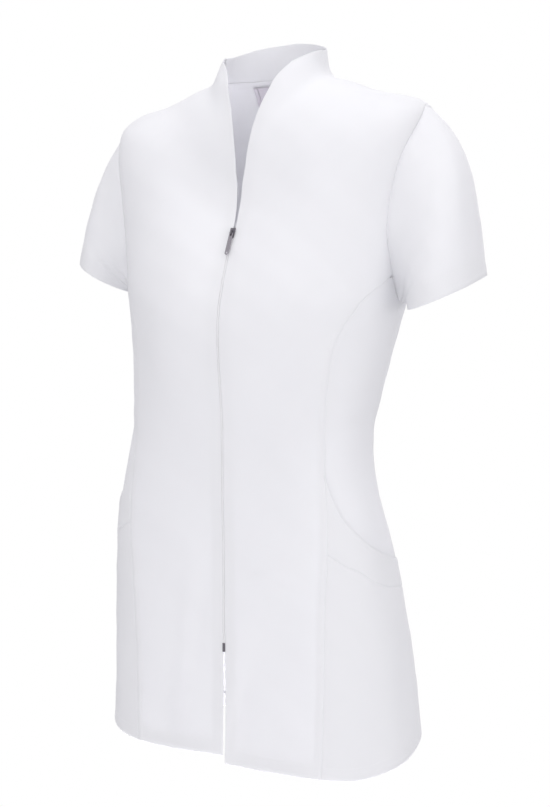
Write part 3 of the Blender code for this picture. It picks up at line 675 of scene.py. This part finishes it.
cut, across, along = cut_map(wire)
drift, slubs = cut.noise(240.0, 2.0), cut.noise(900.0, 3.0)
ribs = (across + along * 1.6 + drift * 0.0003).wave(TWILL_PITCH)
threads = (along + drift * 0.0002).wave(THREAD_PITCH)
relief = (ribs * 0.5 + threads * 0.25 + slubs * 0.8).relief(0.35, 0.00006)
relief.feed(sockets["Normal"])
cut.noise(9.0, 3.0).between((0.862, 0.868, 0.895), (0.882, 0.886, 0.908)).feed(sockets["Base Color"])
(0.84 + slubs * 0.08).feed(sockets["Roughness"])
glow = wire.node("ShaderNodeBsdfTranslucent", None, {"Color": (*GLOW_TONE, 1.0), "Normal": relief})
body = Wire(wire.tree, wire.tree.nodes["Principled BSDF"].outputs["BSDF"])
thin = wire.node("ShaderNodeMixShader", None, {0: LETS_THROUGH, 1: body, 2: glow})
thin.feed(wire.tree.nodes["Material Output"].inputs["Surface"])

# The princess seam is stitched again on the front, a little way in from it, so
# the turned cloth below stands up there as a soft flat band.
BAND_WIDTH, BAND_HEIGHT, STITCH_DIP, STITCH_DIP_WIDTH = 0.0060, 0.00035, 0.00024, 0.0009


def stitched_band(distance):
    """How the cloth lies between an edge and the stitches beside it."""
    raised = BAND_HEIGHT * (1 - ease(BAND_WIDTH * 0.8, BAND_WIDTH * 1.5, distance))
    return raised - STITCH_DIP * hill(distance - BAND_WIDTH, STITCH_DIP_WIDTH)


def from_seam(flat, side):
    """Distances in a left or right grid from its edge further from the centre front."""
    return distance_back(flat) if side == LEFT else distance_in(flat)


FRONT_CORNERS = (0.0, NECK_SEAM, ARMHOLE_TOP, PRINCESS_TOP, ARMHOLE_BOTTOM, WAIST_ROW, MOUTH_ROW, HEM_ROW)
FRONT_COLUMNS, FRONT_MIDDLE, BAND_FADES_IN = 44, 40.0, 0.15
BAND_EDGE = np.array([0.0, 0.0005, 0.0011, 0.0020, 0.0033, 0.0044, 0.0051, 0.0057, 0.0063, 0.0070, 0.0080, 0.0095])
fronts = {}
for side, word in SIDES:
    rows = rows_between(FRONT_CORNERS, FRONT_MIDDLE, side)
    angles, stations = grid_between(
        rows, lambda row: centre_front(row) + side * swing(row), front_outer_edge, FRONT_COLUMNS, side, BAND_EDGE
    )
    edges = (FOLDED_EDGE, SEAM) if side == LEFT else (SEAM, FOLDED_EDGE)
    below_armhole = ease(PRINCESS_TOP, PRINCESS_TOP + BAND_FADES_IN, stations)
    band = stitched_band(from_seam(skin(angles, stations), side)) * below_armhole
    fronts[side] = sew_panel(f"front_{word}", (angles, stations), white_cloth, *edges, FOLDED_EDGE, BODY_HEM, band)

# ---------------------------------------------------------------------------
# Side panels: they run from the underarm to the hem between the princess seam
# and the side seam, and pass behind the pockets as the pockets' backs.
# ---------------------------------------------------------------------------
POCKET_STEP, SEAM_STEP = 0.0008, 0.0005
TUCK_STARTS, TUCK_IS_FULL, TUCK_SQUARE = 0.45, 0.03, 0.7  # stations above the mouth; how square it is across


def side_seam(row):
    """Angle of the side seam, which swings back from the armhole to the hip."""
    return SIDE_SEAM + (LOW_SIDE_SEAM - SIDE_SEAM) * float(ease(ARMHOLE_BOTTOM, MOUTH_ROW, row))


def side_outer_edge(row):
    return armhole_angle(row, 0) if row < ARMHOLE_BOTTOM else side_seam(row)


def tuck(angles, stations):
    """How far the side panel sinks behind the pocket: not at all well above the mouth, a step below it."""
    mouth = through(POCKET_MOUTH, np.abs(angles))
    across = (angles - angles[:, :1]) / (angles[:, -1:] - angles[:, :1])
    deep = SEAM_STEP + POCKET_STEP * np.sin(across * math.pi) ** TUCK_SQUARE
    return -deep * ease(mouth - TUCK_STARTS, mouth - TUCK_IS_FULL, stations)


SIDE_CORNERS = (SIDE_TOP, ARMHOLE_BOTTOM, WAIST_ROW, MOUTH_ROW, HEM_ROW)
SIDE_COLUMNS, SIDE_MIDDLE = 20, 76.0
for side, word in SIDES:
    rows = rows_between(SIDE_CORNERS, SIDE_MIDDLE, side)
    grid = grid_between(rows, princess_angle, side_outer_edge, SIDE_COLUMNS, side)
    sew_panel(f"side_{word}", grid, white_cloth, SEAM, SEAM, SEAM, BODY_HEM, tuck(*grid))

# ---------------------------------------------------------------------------
# Pockets: each is a second layer over the side panel, sewn into the princess
# and side seams and the hem. Its scooped mouth is turned in as a deep hem.
# ---------------------------------------------------------------------------
MOUTH_HEM = Edge(0.0, 0.0300)
MOUTH_GAPES, GAPE_FADES = {LEFT: 0.0016, RIGHT: 0.00032}, 0.35
FACING_LINE = (  # angle, station: where the deep facing of the mouth is stitched down
    (58.0, 11.08), (61.0, 11.13), (64.5, 11.20), (70.5, 11.28), (76.0, 11.38), (84.5, 11.46), (91.5, 11.48),
    (103.0, 11.52),
)  # fmt: skip
FACING_HEIGHT, FACING_ENDS, FACING_DIP, FACING_DIP_WIDTH = 0.0004, (-0.0012, 0.0016), 0.0006, 0.0012
METRES_A_STATION, POCKET_COLUMNS, POCKET_ROWS, POCKET_STARTS = 0.098, 34, (24, 44), 61.0
NEAR_STITCHES = np.array([-0.0036, -0.0024, -0.0016, -0.0009, -0.0003, 0.0003, 0.0009, 0.0016, 0.0024, 0.0036])
ABOVE_STITCHES, BELOW_STITCHES = 0.0048, 0.0060


def pocket_station(part, angle):
    """Where a row of the pocket lies: at 0 on its mouth, at 1 on the stitches of its facing, at 2 on the hem."""
    mouth, hem = station_of(MOUTH_ROW, angle), station_of(HEM_ROW, angle)
    stitched = through(FACING_LINE, np.abs(angle))
    return mouth + (stitched - mouth) * min(part, 1.0) + (hem - stitched) * max(part - 1.0, 0.0)


pockets = {}
for side, word in SIDES:
    down = np.array([float(pocket_station(part, side * SIDE_MIDDLE)) for part in (0.0, 1.0, 2.0)])
    facing, rest = np.linalg.norm(np.diff(skin(side * SIDE_MIDDLE, down), axis=0), axis=1)
    rows = [
        *np.linspace(0.0, 1 - ABOVE_STITCHES / facing, POCKET_ROWS[0]),
        *(1 + off / (facing if off < 0 else rest) for off in NEAR_STITCHES),
        *np.linspace(1 + BELOW_STITCHES / rest, 2.0, POCKET_ROWS[1]),
    ]
    angles, stations = grid_between(
        rows, lambda part: princess_angle(part, pocket_station, rounds=16), lambda part: LOW_SIDE_SEAM,
        POCKET_COLUMNS, side, where=pocket_station,
    )  # fmt: skip
    across = np.clip((np.abs(angles) - POCKET_STARTS) / (LOW_SIDE_SEAM - POCKET_STARTS), 0, 1)
    from_mouth = stations - through(POCKET_MOUTH, np.abs(angles))
    from_facing = (stations - through(FACING_LINE, np.abs(angles))) * METRES_A_STATION
    gape = MOUTH_GAPES[side] * np.sin(across * math.pi) * hill(from_mouth, GAPE_FADES)
    gape += FACING_HEIGHT * (1 - ease(*FACING_ENDS, from_facing)) - FACING_DIP * hill(from_facing, FACING_DIP_WIDTH)
    gape += stitched_band(from_mouth * METRES_A_STATION)
    pockets[side] = sew_panel(f"pocket_{word}", (angles, stations), white_cloth, SEAM, SEAM, MOUTH_HEM, BODY_HEM, gape)

# ---------------------------------------------------------------------------
# Back: one panel from the neck seam to the hem, shaped to the waist by two
# long darts that are sewn on the inside.
# ---------------------------------------------------------------------------
DART_ANGLE, DART_TOP, DART_END, DART_FADES_IN, DART_FADES_OUT = 149.0, 8.3, 11.9, 0.5, 0.7
DART_DEPTH, DART_WIDTH, DART_RADIUS = 0.0010, 0.0016, 0.075
SWELL_SHARE, SWELL_FROM_DART, SWELL_WIDTH = 0.6, 0.006, 0.005  # the turnings that lie on either side of a dart
INTO_COLLAR = Edge(0.00042, 0.0022)


def back_edge(row):
    if row <= ARMHOLE_TOP:
        return SHOULDER_SEAM
    return armhole_angle(row, 1) if row < ARMHOLE_BOTTOM else side_seam(row)


BACK_CORNERS = (NECK_SEAM, ARMHOLE_TOP, ARMHOLE_BOTTOM, WAIST_ROW, MOUTH_ROW, HEM_ROW)
BACK_COLUMNS, BACK_QUARTER = 100, 150.0
rows = rows_between(BACK_CORNERS, BACK_QUARTER, LEFT)
angles, stations = grid_between(rows, back_edge, lambda row: 360 - back_edge(row), BACK_COLUMNS, LEFT)
dart_lift = np.zeros(angles.shape)
for side in (LEFT, RIGHT):
    off_line = np.radians(signed(angles - side * DART_ANGLE)) * DART_RADIUS
    fades = ease(DART_TOP, DART_TOP + DART_FADES_IN, stations)
    fades *= 1 - ease(DART_END - DART_FADES_OUT, DART_END, stations)
    dart_lift -= DART_DEPTH * fades * hill(off_line, DART_WIDTH)
    dart_lift += SWELL_SHARE * DART_DEPTH * fades * hill(np.abs(off_line) - SWELL_FROM_DART, SWELL_WIDTH)
back = sew_panel("back", (angles, stations), white_cloth, SEAM, SEAM, INTO_COLLAR, BODY_HEM, dart_lift)

# ---------------------------------------------------------------------------
# Back collar: a band that stands on the back neck and meets the fronts' own
# stands at the shoulders. Its top is folded over.
# ---------------------------------------------------------------------------
COLLAR_COLUMNS, COLLAR_LINING = 46, Edge(0.0, 0.0390)
rows = rows_between((0.0, NECK_SEAM), 180.0, LEFT)
grid = grid_between(rows, lambda row: SHOULDER_SEAM, lambda row: 360 - SHOULDER_SEAM, COLLAR_COLUMNS, LEFT)
sew_panel("collar_back", grid, white_cloth, SEAM, SEAM, COLLAR_LINING, SEAM)

# ---------------------------------------------------------------------------
# Sleeves: short, set into the armholes with a little fullness at the head, and
# finished with a deep turned hem.
# ---------------------------------------------------------------------------
Sleeve = namedtuple("Sleeve", "hem out forward leaves")
SLEEVES = {
    LEFT: Sleeve((0.2005, -0.012, -0.2215), (0.038, 0.000, 0.014), (0.006, -0.062, -0.010), (0.82, 0.00, -0.57)),
    RIGHT: Sleeve((0.192, 0.006, -0.210), (0.033, 0.000, 0.019), (0.004, -0.062, 0.005), (0.58, 0.00, -0.81)),
}
UNDERARM_LEAVES, SLEEVE_ENDS = np.array([0.86, 0.00, -0.51]), np.array([0.14, 0.00, -0.99])
ARMHOLE_CENTRE = (90.0, ARMHOLE_MIDDLE)
SLEEVE_COLUMNS, SLEEVE_ROWS = 104, 56
SLEEVE_LENGTH, SLEEVE_RADIUS, SLEEVE_ROUND, SLEEVE_HEM = 0.17, 0.058, 0.36, Edge(0.0, 0.0220)
HEAD_HANDLE, HEM_HANDLE = 0.36, 0.40  # how straight the sleeve leaves its head and reaches its hem
HEAD_SINK, HEAD_DIP, HEAD_DIP_WIDTH = 0.0008, 0.0005, 0.0030
HEAD_TURNED = ((0.0080, 0.0024), (0.0045, 0.0022), (0.0014, 0.0016))  # under the body: how far, how deep
Crease = namedtuple("Crease", "name around down along across lean height")
SLEEVE_CREASES = (
    Crease("from the armpit", 142.0, 0.30, 0.040, 0.009, 40.0, -0.0018),
    Crease("below it", 128.0, 0.62, 0.034, 0.010, 28.0, -0.0014),
    Crease("front of the head", 60.0, 0.24, 0.034, 0.012, -62.0, -0.0010),
    Crease("outer fall", 22.0, 0.66, 0.050, 0.014, 84.0, -0.0012),
    Crease("behind the armpit", 214.0, 0.34, 0.038, 0.010, -38.0, -0.0018),
    Crease("behind the hem", 246.0, 0.70, 0.030, 0.011, -70.0, -0.0014),
    Crease("back of the head", 304.0, 0.30, 0.034, 0.012, 58.0, -0.0010),
)


def unit(vectors):
    return vectors / np.linalg.norm(vectors, axis=-1, keepdims=True)


def surface_normals(points):
    """The ways out of a tube's grid of points, whose columns run round it."""
    round_tube = np.roll(points, -1, 1) - np.roll(points, 1, 1)
    down = np.gradient(points, axis=0)
    return unit(np.cross(round_tube, down))


def sleeve_form(side):
    """The sleeve's turned head, its points from the armhole to the hem, and where its columns and rows are."""
    around = np.array(even(0, 360, SLEEVE_COLUMNS)[:-1])
    phi = np.where(around <= 180, around, 360 - around)
    armhole = through(ARMHOLE, phi)
    angle = side * np.where(around <= 180, armhole[:, 0], armhole[:, 1])
    station = armhole_station(phi)
    start, normal = skin(angle, station), outward(angle, station)
    cut = SLEEVES[side]
    facing = np.where(around <= 180, 1.0, -1.0)[:, None]
    turn = np.radians(phi)[:, None]
    hem = np.array(cut.hem) + np.array(cut.out) * np.cos(turn) + np.array(cut.forward) * np.sin(turn) * facing
    low = (1 - np.cos(turn)) / 2
    leaves = unit(np.array(cut.leaves) * (1 - low) + UNDERARM_LEAVES * low)
    mirror = np.array([side, 1.0, 1.0])
    hem, leaves, ends = hem * mirror, leaves * mirror, unit(SLEEVE_ENDS) * mirror
    inward = skin(side * ARMHOLE_CENTRE[0], ARMHOLE_CENTRE[1]) - start
    inward = unit(inward - normal * (inward * normal).sum(-1, keepdims=True))
    turned = np.stack([start - inward * far - normal * deep for far, deep in HEAD_TURNED])
    start = start - normal * HEAD_SINK
    span = np.linalg.norm(hem - start, axis=-1, keepdims=True)
    handle_start, handle_end = start + leaves * span * HEAD_HANDLE, hem - ends * span * HEM_HANDLE
    near = NEAR_EDGE / SLEEVE_LENGTH
    down = np.concatenate([near, even(near[-1], 1, SLEEVE_ROWS)[1:]])[:, None, None]
    up = 1 - down
    points = start * up**3 + handle_start * 3 * up**2 * down + handle_end * 3 * up * down**2 + hem * down**3
    return turned, points, around, down[:, :, 0]


sleeves = {}
for side, word in SIDES:
    turned_head, points, around, down = sleeve_form(side)
    if side == RIGHT:
        turned_head, points, around = turned_head[:, ::-1], points[:, ::-1], around[::-1]
    normals = surface_normals(points)
    lift = unevenness(points) - HEAD_DIP * hill(distance_down(points), HEAD_DIP_WIDTH)
    for crease in SLEEVE_CREASES:
        sideways = np.radians(signed(around - crease.around))[None, :] * SLEEVE_RADIUS
        lift = lift + crease_height(crease, sideways, (crease.down - down) * SLEEVE_LENGTH)
    shown = points + normals * lift[..., None]
    sleeves[side] = Panel(shown, normals)
    turned_hem, _ = folded_back(crosswise(shown[::-1]), crosswise(normals[::-1]), SLEEVE_HEM)
    whole = np.concatenate([turned_head, shown, crosswise(turned_hem)], 0)
    round_cut = np.linspace(0, SLEEVE_ROUND, whole.shape[1])[None, :].repeat(len(whole), 0)
    cut = np.stack([round_cut, distance_down(whole)], -1)
    made = add_piece(f"sleeve_{word}", whole, white_cloth, closed=True, cut=cut)
    stand_for(f"sleeve_{word}", made, np.concatenate([whole, whole[:, :1]], 1))

# ---------------------------------------------------------------------------
# Stitches: white thread beside the princess seams and the pocket mouths, along
# the pockets' facings, and where the hems of the body and sleeves are turned.
# ---------------------------------------------------------------------------
STITCH_SPACING, STITCH_LENGTH, STITCH_WIDTH, STITCH_HEIGHT = 0.0026, 0.0021, 0.00036, 0.00026
THREAD_UP = CLOTH / 2 + 0.00004
HEM_STITCH, SLEEVE_STITCH = 0.0125, 0.0195
UNDERARM, FIRST_STITCH = 80.0, PRINCESS_TOP + 0.12
FACING_ROW, FACING_INSETS, FACING_POINTS = 10.9, (0.6, 0.4), 40

thread, sockets, wire = new_finish("white thread", (0.88, 0.885, 0.905), 0.6, Sheen_Weight=0.2)
place = wire.node("ShaderNodeTexCoord", None, None, "Object")
twist = place.noise(5200.0, 2.0)
twist.relief(0.4, 0.00004).feed(sockets["Normal"])
(0.5 + twist * 0.25).feed(sockets["Roughness"])


def line_in(points, normals, inset):
    """The line at a distance from the first column of a grid, one point a row, with the ways out there."""
    lines = [(line, ways, steps_along(line)) for line, ways in zip(points, normals)]
    found = unit(np.array([read_line(inset, reach, ways) for _, ways, reach in lines]))
    return np.array([read_line(inset, reach, line) for line, _, reach in lines]) + found * THREAD_UP, found


def line_on_skin(angles, stations, lift):
    """A line through places on the body, this far out of the middle of the cloth, with the ways out there."""
    points, normals = skin(angles, stations), outward(angles, stations)
    return points + normals * (unevenness(points) + lift)[:, None], normals


def turned_grid(panel, edge):
    """A panel's grid turned so that its named edge is the first column."""
    order = {"first": np.s_[:], "last": np.s_[:, ::-1], "top": np.s_[:], "bottom": np.s_[::-1]}[edge]
    points, normals = panel.points[order], panel.normals[order]
    if edge in ("top", "bottom"):
        return crosswise(points), crosswise(normals)
    return points, normals


def new_growth(name, inputs):
    """A geometry tree with these inputs and their values, up to points at a spacing along its paths."""
    tree = bpy.data.node_groups.new(name, "GeometryNodeTree")
    for label, value in {"Geometry": "Geometry", **inputs, "Finish": "Material"}.items():
        kind = {float: "Float", int: "Int"}.get(type(value), value)
        socket = tree.interface.new_socket(name=label, in_out="INPUT", socket_type=f"NodeSocket{kind}")
        if kind != value:
            socket.default_value = value
    tree.interface.new_socket(name="Geometry", in_out="OUTPUT", socket_type="NodeSocketGeometry")
    start, group = Wire(tree), tree.nodes.new("NodeGroupInput")
    given = {socket.name: Wire(tree, socket) for socket in group.outputs if socket.name}
    curve = start.node("GeometryNodeMeshToCurve", None, {"Mesh": given["Geometry"]})
    spaced = start.node("GeometryNodeResampleCurve", {"mode": "LENGTH"}, {"Curve": curve, "Length": given["Spacing"]})
    out_of_cloth = start.node("GeometryNodeInputNamedAttribute", {"data_type": "FLOAT_VECTOR"}, {"Name": "facing"})
    return given, spaced, out_of_cloth, start.node("GeometryNodeInputTangent")


def set_on_points(spaced, finish, values):
    """Ends a geometry tree with a real copy of a part on each point, in its finish."""
    copies = spaced.node("GeometryNodeInstanceOnPoints", None, {"Points": spaced, **values})
    real = spaced.node("GeometryNodeRealizeInstances", None, {"Geometry": copies})
    smooth = spaced.node("GeometryNodeSetShadeSmooth", None, {0: real})
    dressed = spaced.node("GeometryNodeSetMaterial", None, {"Geometry": smooth, "Material": finish})
    spaced.node("NodeGroupOutput", None, {"Geometry": dressed})


def grow(name, paths, tree, finish):
    """Runs a geometry tree along paths, each its points and the ways out of the cloth, into one plain mesh."""
    points = np.concatenate([line for line, _ in paths])
    edges, start = [], 0
    for line, _ in paths:
        edges += [(start + at, start + at + 1) for at in range(len(line) - 1)]
        start += len(line)
    mesh = bpy.data.meshes.new(name)
    mesh.from_pydata(points.tolist(), edges, [])
    facing = mesh.attributes.new("facing", "FLOAT_VECTOR", "POINT")
    facing.data.foreach_set("vector", np.concatenate([ways for _, ways in paths]).astype(np.float32).ravel())
    path = add_object(name, mesh)
    modifier = path.modifiers.new("Growth", "NODES")
    modifier.node_group = tree
    for item in tree.interface.items_tree:
        if item.name == "Finish":
            modifier[item.identifier] = finish
    depsgraph = bpy.context.evaluated_depsgraph_get()
    grown = bpy.data.meshes.new_from_object(path.evaluated_get(depsgraph), depsgraph=depsgraph)
    bpy.data.objects.remove(path, do_unlink=True)
    grown.name = name
    return add_object(name, grown)


given, spaced, out_of_cloth, onward = new_growth(
    "stitches",
    {"Spacing": STITCH_SPACING, "Length": STITCH_LENGTH, "Width": STITCH_WIDTH, "Height": STITCH_HEIGHT, "Seed": 7},
)
align = "FunctionNodeAlignRotationToVector"
upright = spaced.node(align, {"axis": "Z"}, {"Vector": out_of_cloth})
along_seam = spaced.node(align, {"axis": "X", "pivot_axis": "Z"}, {"Rotation": upright, "Vector": onward})
bead = spaced.node("GeometryNodeMeshUVSphere", None, {"Segments": 6, "Rings": 4, "Radius": 0.5})
pull = spaced.node("FunctionNodeRandomValue", {"data_type": "FLOAT"}, {2: 0.93, 3: 1.05, "Seed": given["Seed"]}, 1)
size = spaced.node("ShaderNodeCombineXYZ", None, {0: given["Length"] * pull, 1: given["Width"], 2: given["Height"]})
set_on_points(spaced, given["Finish"], {"Instance": bead, "Rotation": along_seam, "Scale": size})

paths = []
for side in (LEFT, RIGHT):
    outer = "last" if side == LEFT else "first"
    points, normals = line_in(*turned_grid(fronts[side], outer), BAND_WIDTH)
    below = points[:, 2] < skin(side * UNDERARM, FIRST_STITCH)[2]
    paths.append((points[below], normals[below]))
    paths.append(line_in(*turned_grid(pockets[side], "top"), BAND_WIDTH))
    for panel in (fronts[side], pockets[side]):
        paths.append(line_in(*turned_grid(panel, "bottom"), HEM_STITCH))
    first, last = princess_angle(FACING_ROW) + FACING_INSETS[0], LOW_SIDE_SEAM - FACING_INSETS[1]
    angles = np.linspace(first, last, FACING_POINTS) * side
    paths.append(line_on_skin(angles, through(FACING_LINE, np.abs(angles)), THREAD_UP))
    points, normals = line_in(*turned_grid(sleeves[side], "bottom"), SLEEVE_STITCH)
    paths.append((np.concatenate([points, points[:1]]), np.concatenate([normals, normals[:1]])))
paths.append(line_in(*turned_grid(back, "bottom"), HEM_STITCH))
stitches = grow("stitches", paths, spaced.tree, thread)
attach(stitches, "jacket")

# ---------------------------------------------------------------------------
# Label: a bare woven strip with its ends turned under, sewn by its top edge
# inside the back of the neck.
# ---------------------------------------------------------------------------
LABEL_WIDTH, LABEL_HEIGHT, LABEL_INSIDE = 0.092, 0.048, -0.0026
LABEL_END, LABEL_MIDDLE, LABEL_TOP = Edge(0.0, 0.0040), 182.0, NECK_SEAM - 0.08
LABEL_COLUMNS, LABEL_ROWS, METRES_A_NECK_STATION = 24, 18, 0.033
WARP_PITCH, WEFT_PITCH = 0.0006, 0.0005

bare_weave, sockets, wire = new_finish("bare label", (0.66, 0.61, 0.68), 0.7, Sheen_Weight=0.15)
cut, across, along = cut_map(wire)
threads = across.wave(WARP_PITCH) * 0.5 + along.wave(WEFT_PITCH) * 0.5
threads.relief(0.4, 0.00005).feed(sockets["Normal"])
cut.noise(60.0, 3.0).between((0.57, 0.54, 0.60), (0.63, 0.60, 0.66)).feed(sockets["Base Color"])


def label_reach(row):
    """The angle from the middle of the label to its end, which keeps it one width all the way down."""
    probe = np.linspace(4.0, 70.0, 67)
    across = skin(180 - probe, row)[..., 0] - skin(180.0, row)[0]
    return float(np.interp(LABEL_WIDTH / 2, across, probe))


rows = even(LABEL_TOP, LABEL_TOP + LABEL_HEIGHT / METRES_A_NECK_STATION, LABEL_ROWS)
grid = grid_between(
    rows, lambda row: LABEL_MIDDLE - label_reach(row), lambda row: LABEL_MIDDLE + label_reach(row), LABEL_COLUMNS, LEFT
)
sew_panel("label", grid, bare_weave, LABEL_END, LABEL_END, lift=LABEL_INSIDE, slot="bare_label")

# ---------------------------------------------------------------------------
# Zip: woven tapes behind the front edges carry a fine nylon coil that closes
# the gap between them, from the slider at the bust down to a metal stop.
# ---------------------------------------------------------------------------
ZIP_TOP, SLIDER_STATION, STOP_STATION, TAPE_FOOT = 5.36, 5.64, 12.26, 12.28
TAPE_WIDTH, TAPE_INSIDE, TAPE_RIB, TAPE_COLUMNS = 0.0127, -0.00118, 0.0011, 8
TAPES_CLOSE = 0.12  # how many stations above the slider they start to close
COIL_PITCH, COIL_RADIUS, STRAND_RADIUS = 0.00115, 0.00082, 0.00034
COIL_FLAT, COIL_APART, COIL_INSIDE = 0.50, 0.00045, -0.00015
COIL_TOP, COIL_FOOT, COIL_POINTS = SLIDER_STATION + 0.04, STOP_STATION - 0.03, 400

tape_cloth, sockets, wire = new_finish("zip tape", (0.92, 0.92, 0.94), 0.8, Sheen_Weight=0.1)
cut, across, along = cut_map(wire)
(across * 2.0 + along).wave(TAPE_RIB).relief(0.5, 0.00007).feed(sockets["Normal"])
(0.75 + cut.noise(300.0, 2.0) * 0.12).feed(sockets["Roughness"])


def front_turn(row, side, distance):
    """The angle of a place on the zip tape, a distance out from the middle of the closed zip, as on a left half."""
    return centre_front(row) + side * swing(row) + math.degrees((distance - ZIP_HALF_GAP) / half_depth(row))


def tape_edge(row, side):
    """The angle of a tape's inner edge: beside the cloth above the slider, against the other tape below it."""
    return front_turn(row, side, ZIP_HALF_GAP * (1 - float(ease(SLIDER_STATION - TAPES_CLOSE, SLIDER_STATION, row))))


for side, word in SIDES:
    rows = rows_between((ZIP_TOP, MOUTH_ROW, TAPE_FOOT), 0.0, side)
    grid = grid_between(
        rows, lambda row: tape_edge(row, side), lambda row: front_turn(row, side, TAPE_WIDTH), TAPE_COLUMNS, side
    )
    sew_panel(f"zip_tape_{word}", grid, tape_cloth, lift=TAPE_INSIDE, slot="zip_tape")

nylon, sockets, wire = new_finish("white nylon", (0.93, 0.93, 0.95), 0.42)
place = wire.node("ShaderNodeTexCoord", None, None, "Object")
(0.34 + place.noise(700.0, 2.0) * 0.2).feed(sockets["Roughness"])

given, spaced, out_of_cloth, onward = new_growth(
    "coil",
    {"Spacing": COIL_PITCH, "Radius": COIL_RADIUS, "Strand": STRAND_RADIUS, "Flatness": COIL_FLAT},
)
down_zip = spaced.node(align, {"axis": "Z"}, {"Vector": onward})
facing_out = spaced.node(align, {"axis": "Y", "pivot_axis": "Z"}, {"Rotation": down_zip, "Vector": out_of_cloth})
circle = "GeometryNodeCurvePrimitiveCircle"
bend = spaced.node(circle, {"mode": "RADIUS"}, {"Resolution": 9, "Radius": given["Radius"]})
squash = spaced.node("ShaderNodeCombineXYZ", None, {0: 1.0, 1: given["Flatness"], 2: 1.0})
bend = spaced.node("GeometryNodeTransform", None, {"Geometry": bend, "Scale": squash})
strand = spaced.node(circle, {"mode": "RADIUS"}, {"Resolution": 5, "Radius": given["Strand"]})
loop = spaced.node("GeometryNodeCurveToMesh", None, {"Curve": bend, "Profile Curve": strand})
set_on_points(spaced, given["Finish"], {"Instance": loop, "Rotation": facing_out})

paths = []
down = np.linspace(COIL_TOP, COIL_FOOT, COIL_POINTS)
points, normals = line_on_skin(np.array([swing(row) for row in down]), down, COIL_INSIDE)
reach = steps_along(points)
for side in (LEFT, RIGHT):
    # The two halves wind half a pitch apart all the way, so that their loops mesh.
    after = 0.0 if side == LEFT else COIL_PITCH / 2
    along_zip = np.linspace(after, after + reach[-1] - COIL_PITCH / 2, COIL_POINTS)
    half = read_line(along_zip, reach, points) + np.array([side * COIL_APART, 0.0, 0.0])
    paths.append((half, read_line(along_zip, reach, normals)))
coil = grow("zip_coil", paths, spaced.tree, nylon)
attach(coil, "jacket")

# Slider, pull tab and bottom stop: plated zinc castings with softly worn
# edges. The tab hangs by its bar from the slider's bridge and lifts on it.
METAL_EDGE, WELD, FLAT_WITHIN, SHARP_FROM = 0.00016, 1e-6, math.radians(3), math.radians(30)
plating = {}
for name, dull, bright in (
    ("dark plating", (0.12, 0.11, 0.13), (0.30, 0.29, 0.32)),
    ("grey plating", (0.26, 0.24, 0.27), (0.50, 0.48, 0.52)),
):
    plating[name], sockets, wire = new_finish(name, (0.4, 0.4, 0.42), 0.34, Metallic=1.0)
    place = wire.node("ShaderNodeTexCoord", None, None, "Object")
    tumbled = place.noise(1500.0, 4.0)
    (0.26 + tumbled * 0.24).feed(sockets["Roughness"])
    tumbled.relief(0.25, 0.00003).feed(sockets["Normal"])
    tumbled.between(dull, bright).feed(sockets["Base Color"])

for node, body, finish in (
    ("zip_slider", "jacket", "dark plating"),
    ("zip_pull_tab", "pull_tab", "grey plating"),
    ("zip_bottom_stop", "jacket", "dark plating"),
):
    shape = bmesh.new()
    shape.from_mesh(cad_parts[node].data)
    bmesh.ops.remove_doubles(shape, verts=shape.verts, dist=WELD)
    bmesh.ops.dissolve_limit(shape, angle_limit=FLAT_WITHIN, verts=shape.verts, edges=shape.edges)
    mesh = bpy.data.meshes.new(node)
    shape.to_mesh(mesh)
    shape.free()
    mesh.materials.append(plating[finish])
    mesh.shade_smooth()
    mesh.set_sharp_from_angle(angle=SHARP_FROM)
    casting = add_object(node, mesh)
    worn_edge = casting.modifiers.new("Edges", "BEVEL")
    worn_edge.width = METAL_EDGE
    worn_edge.segments = 2
    worn_edge.limit_method = "ANGLE"
    worn_edge.angle_limit = SHARP_FROM
    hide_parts(node)
    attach(casting, body)
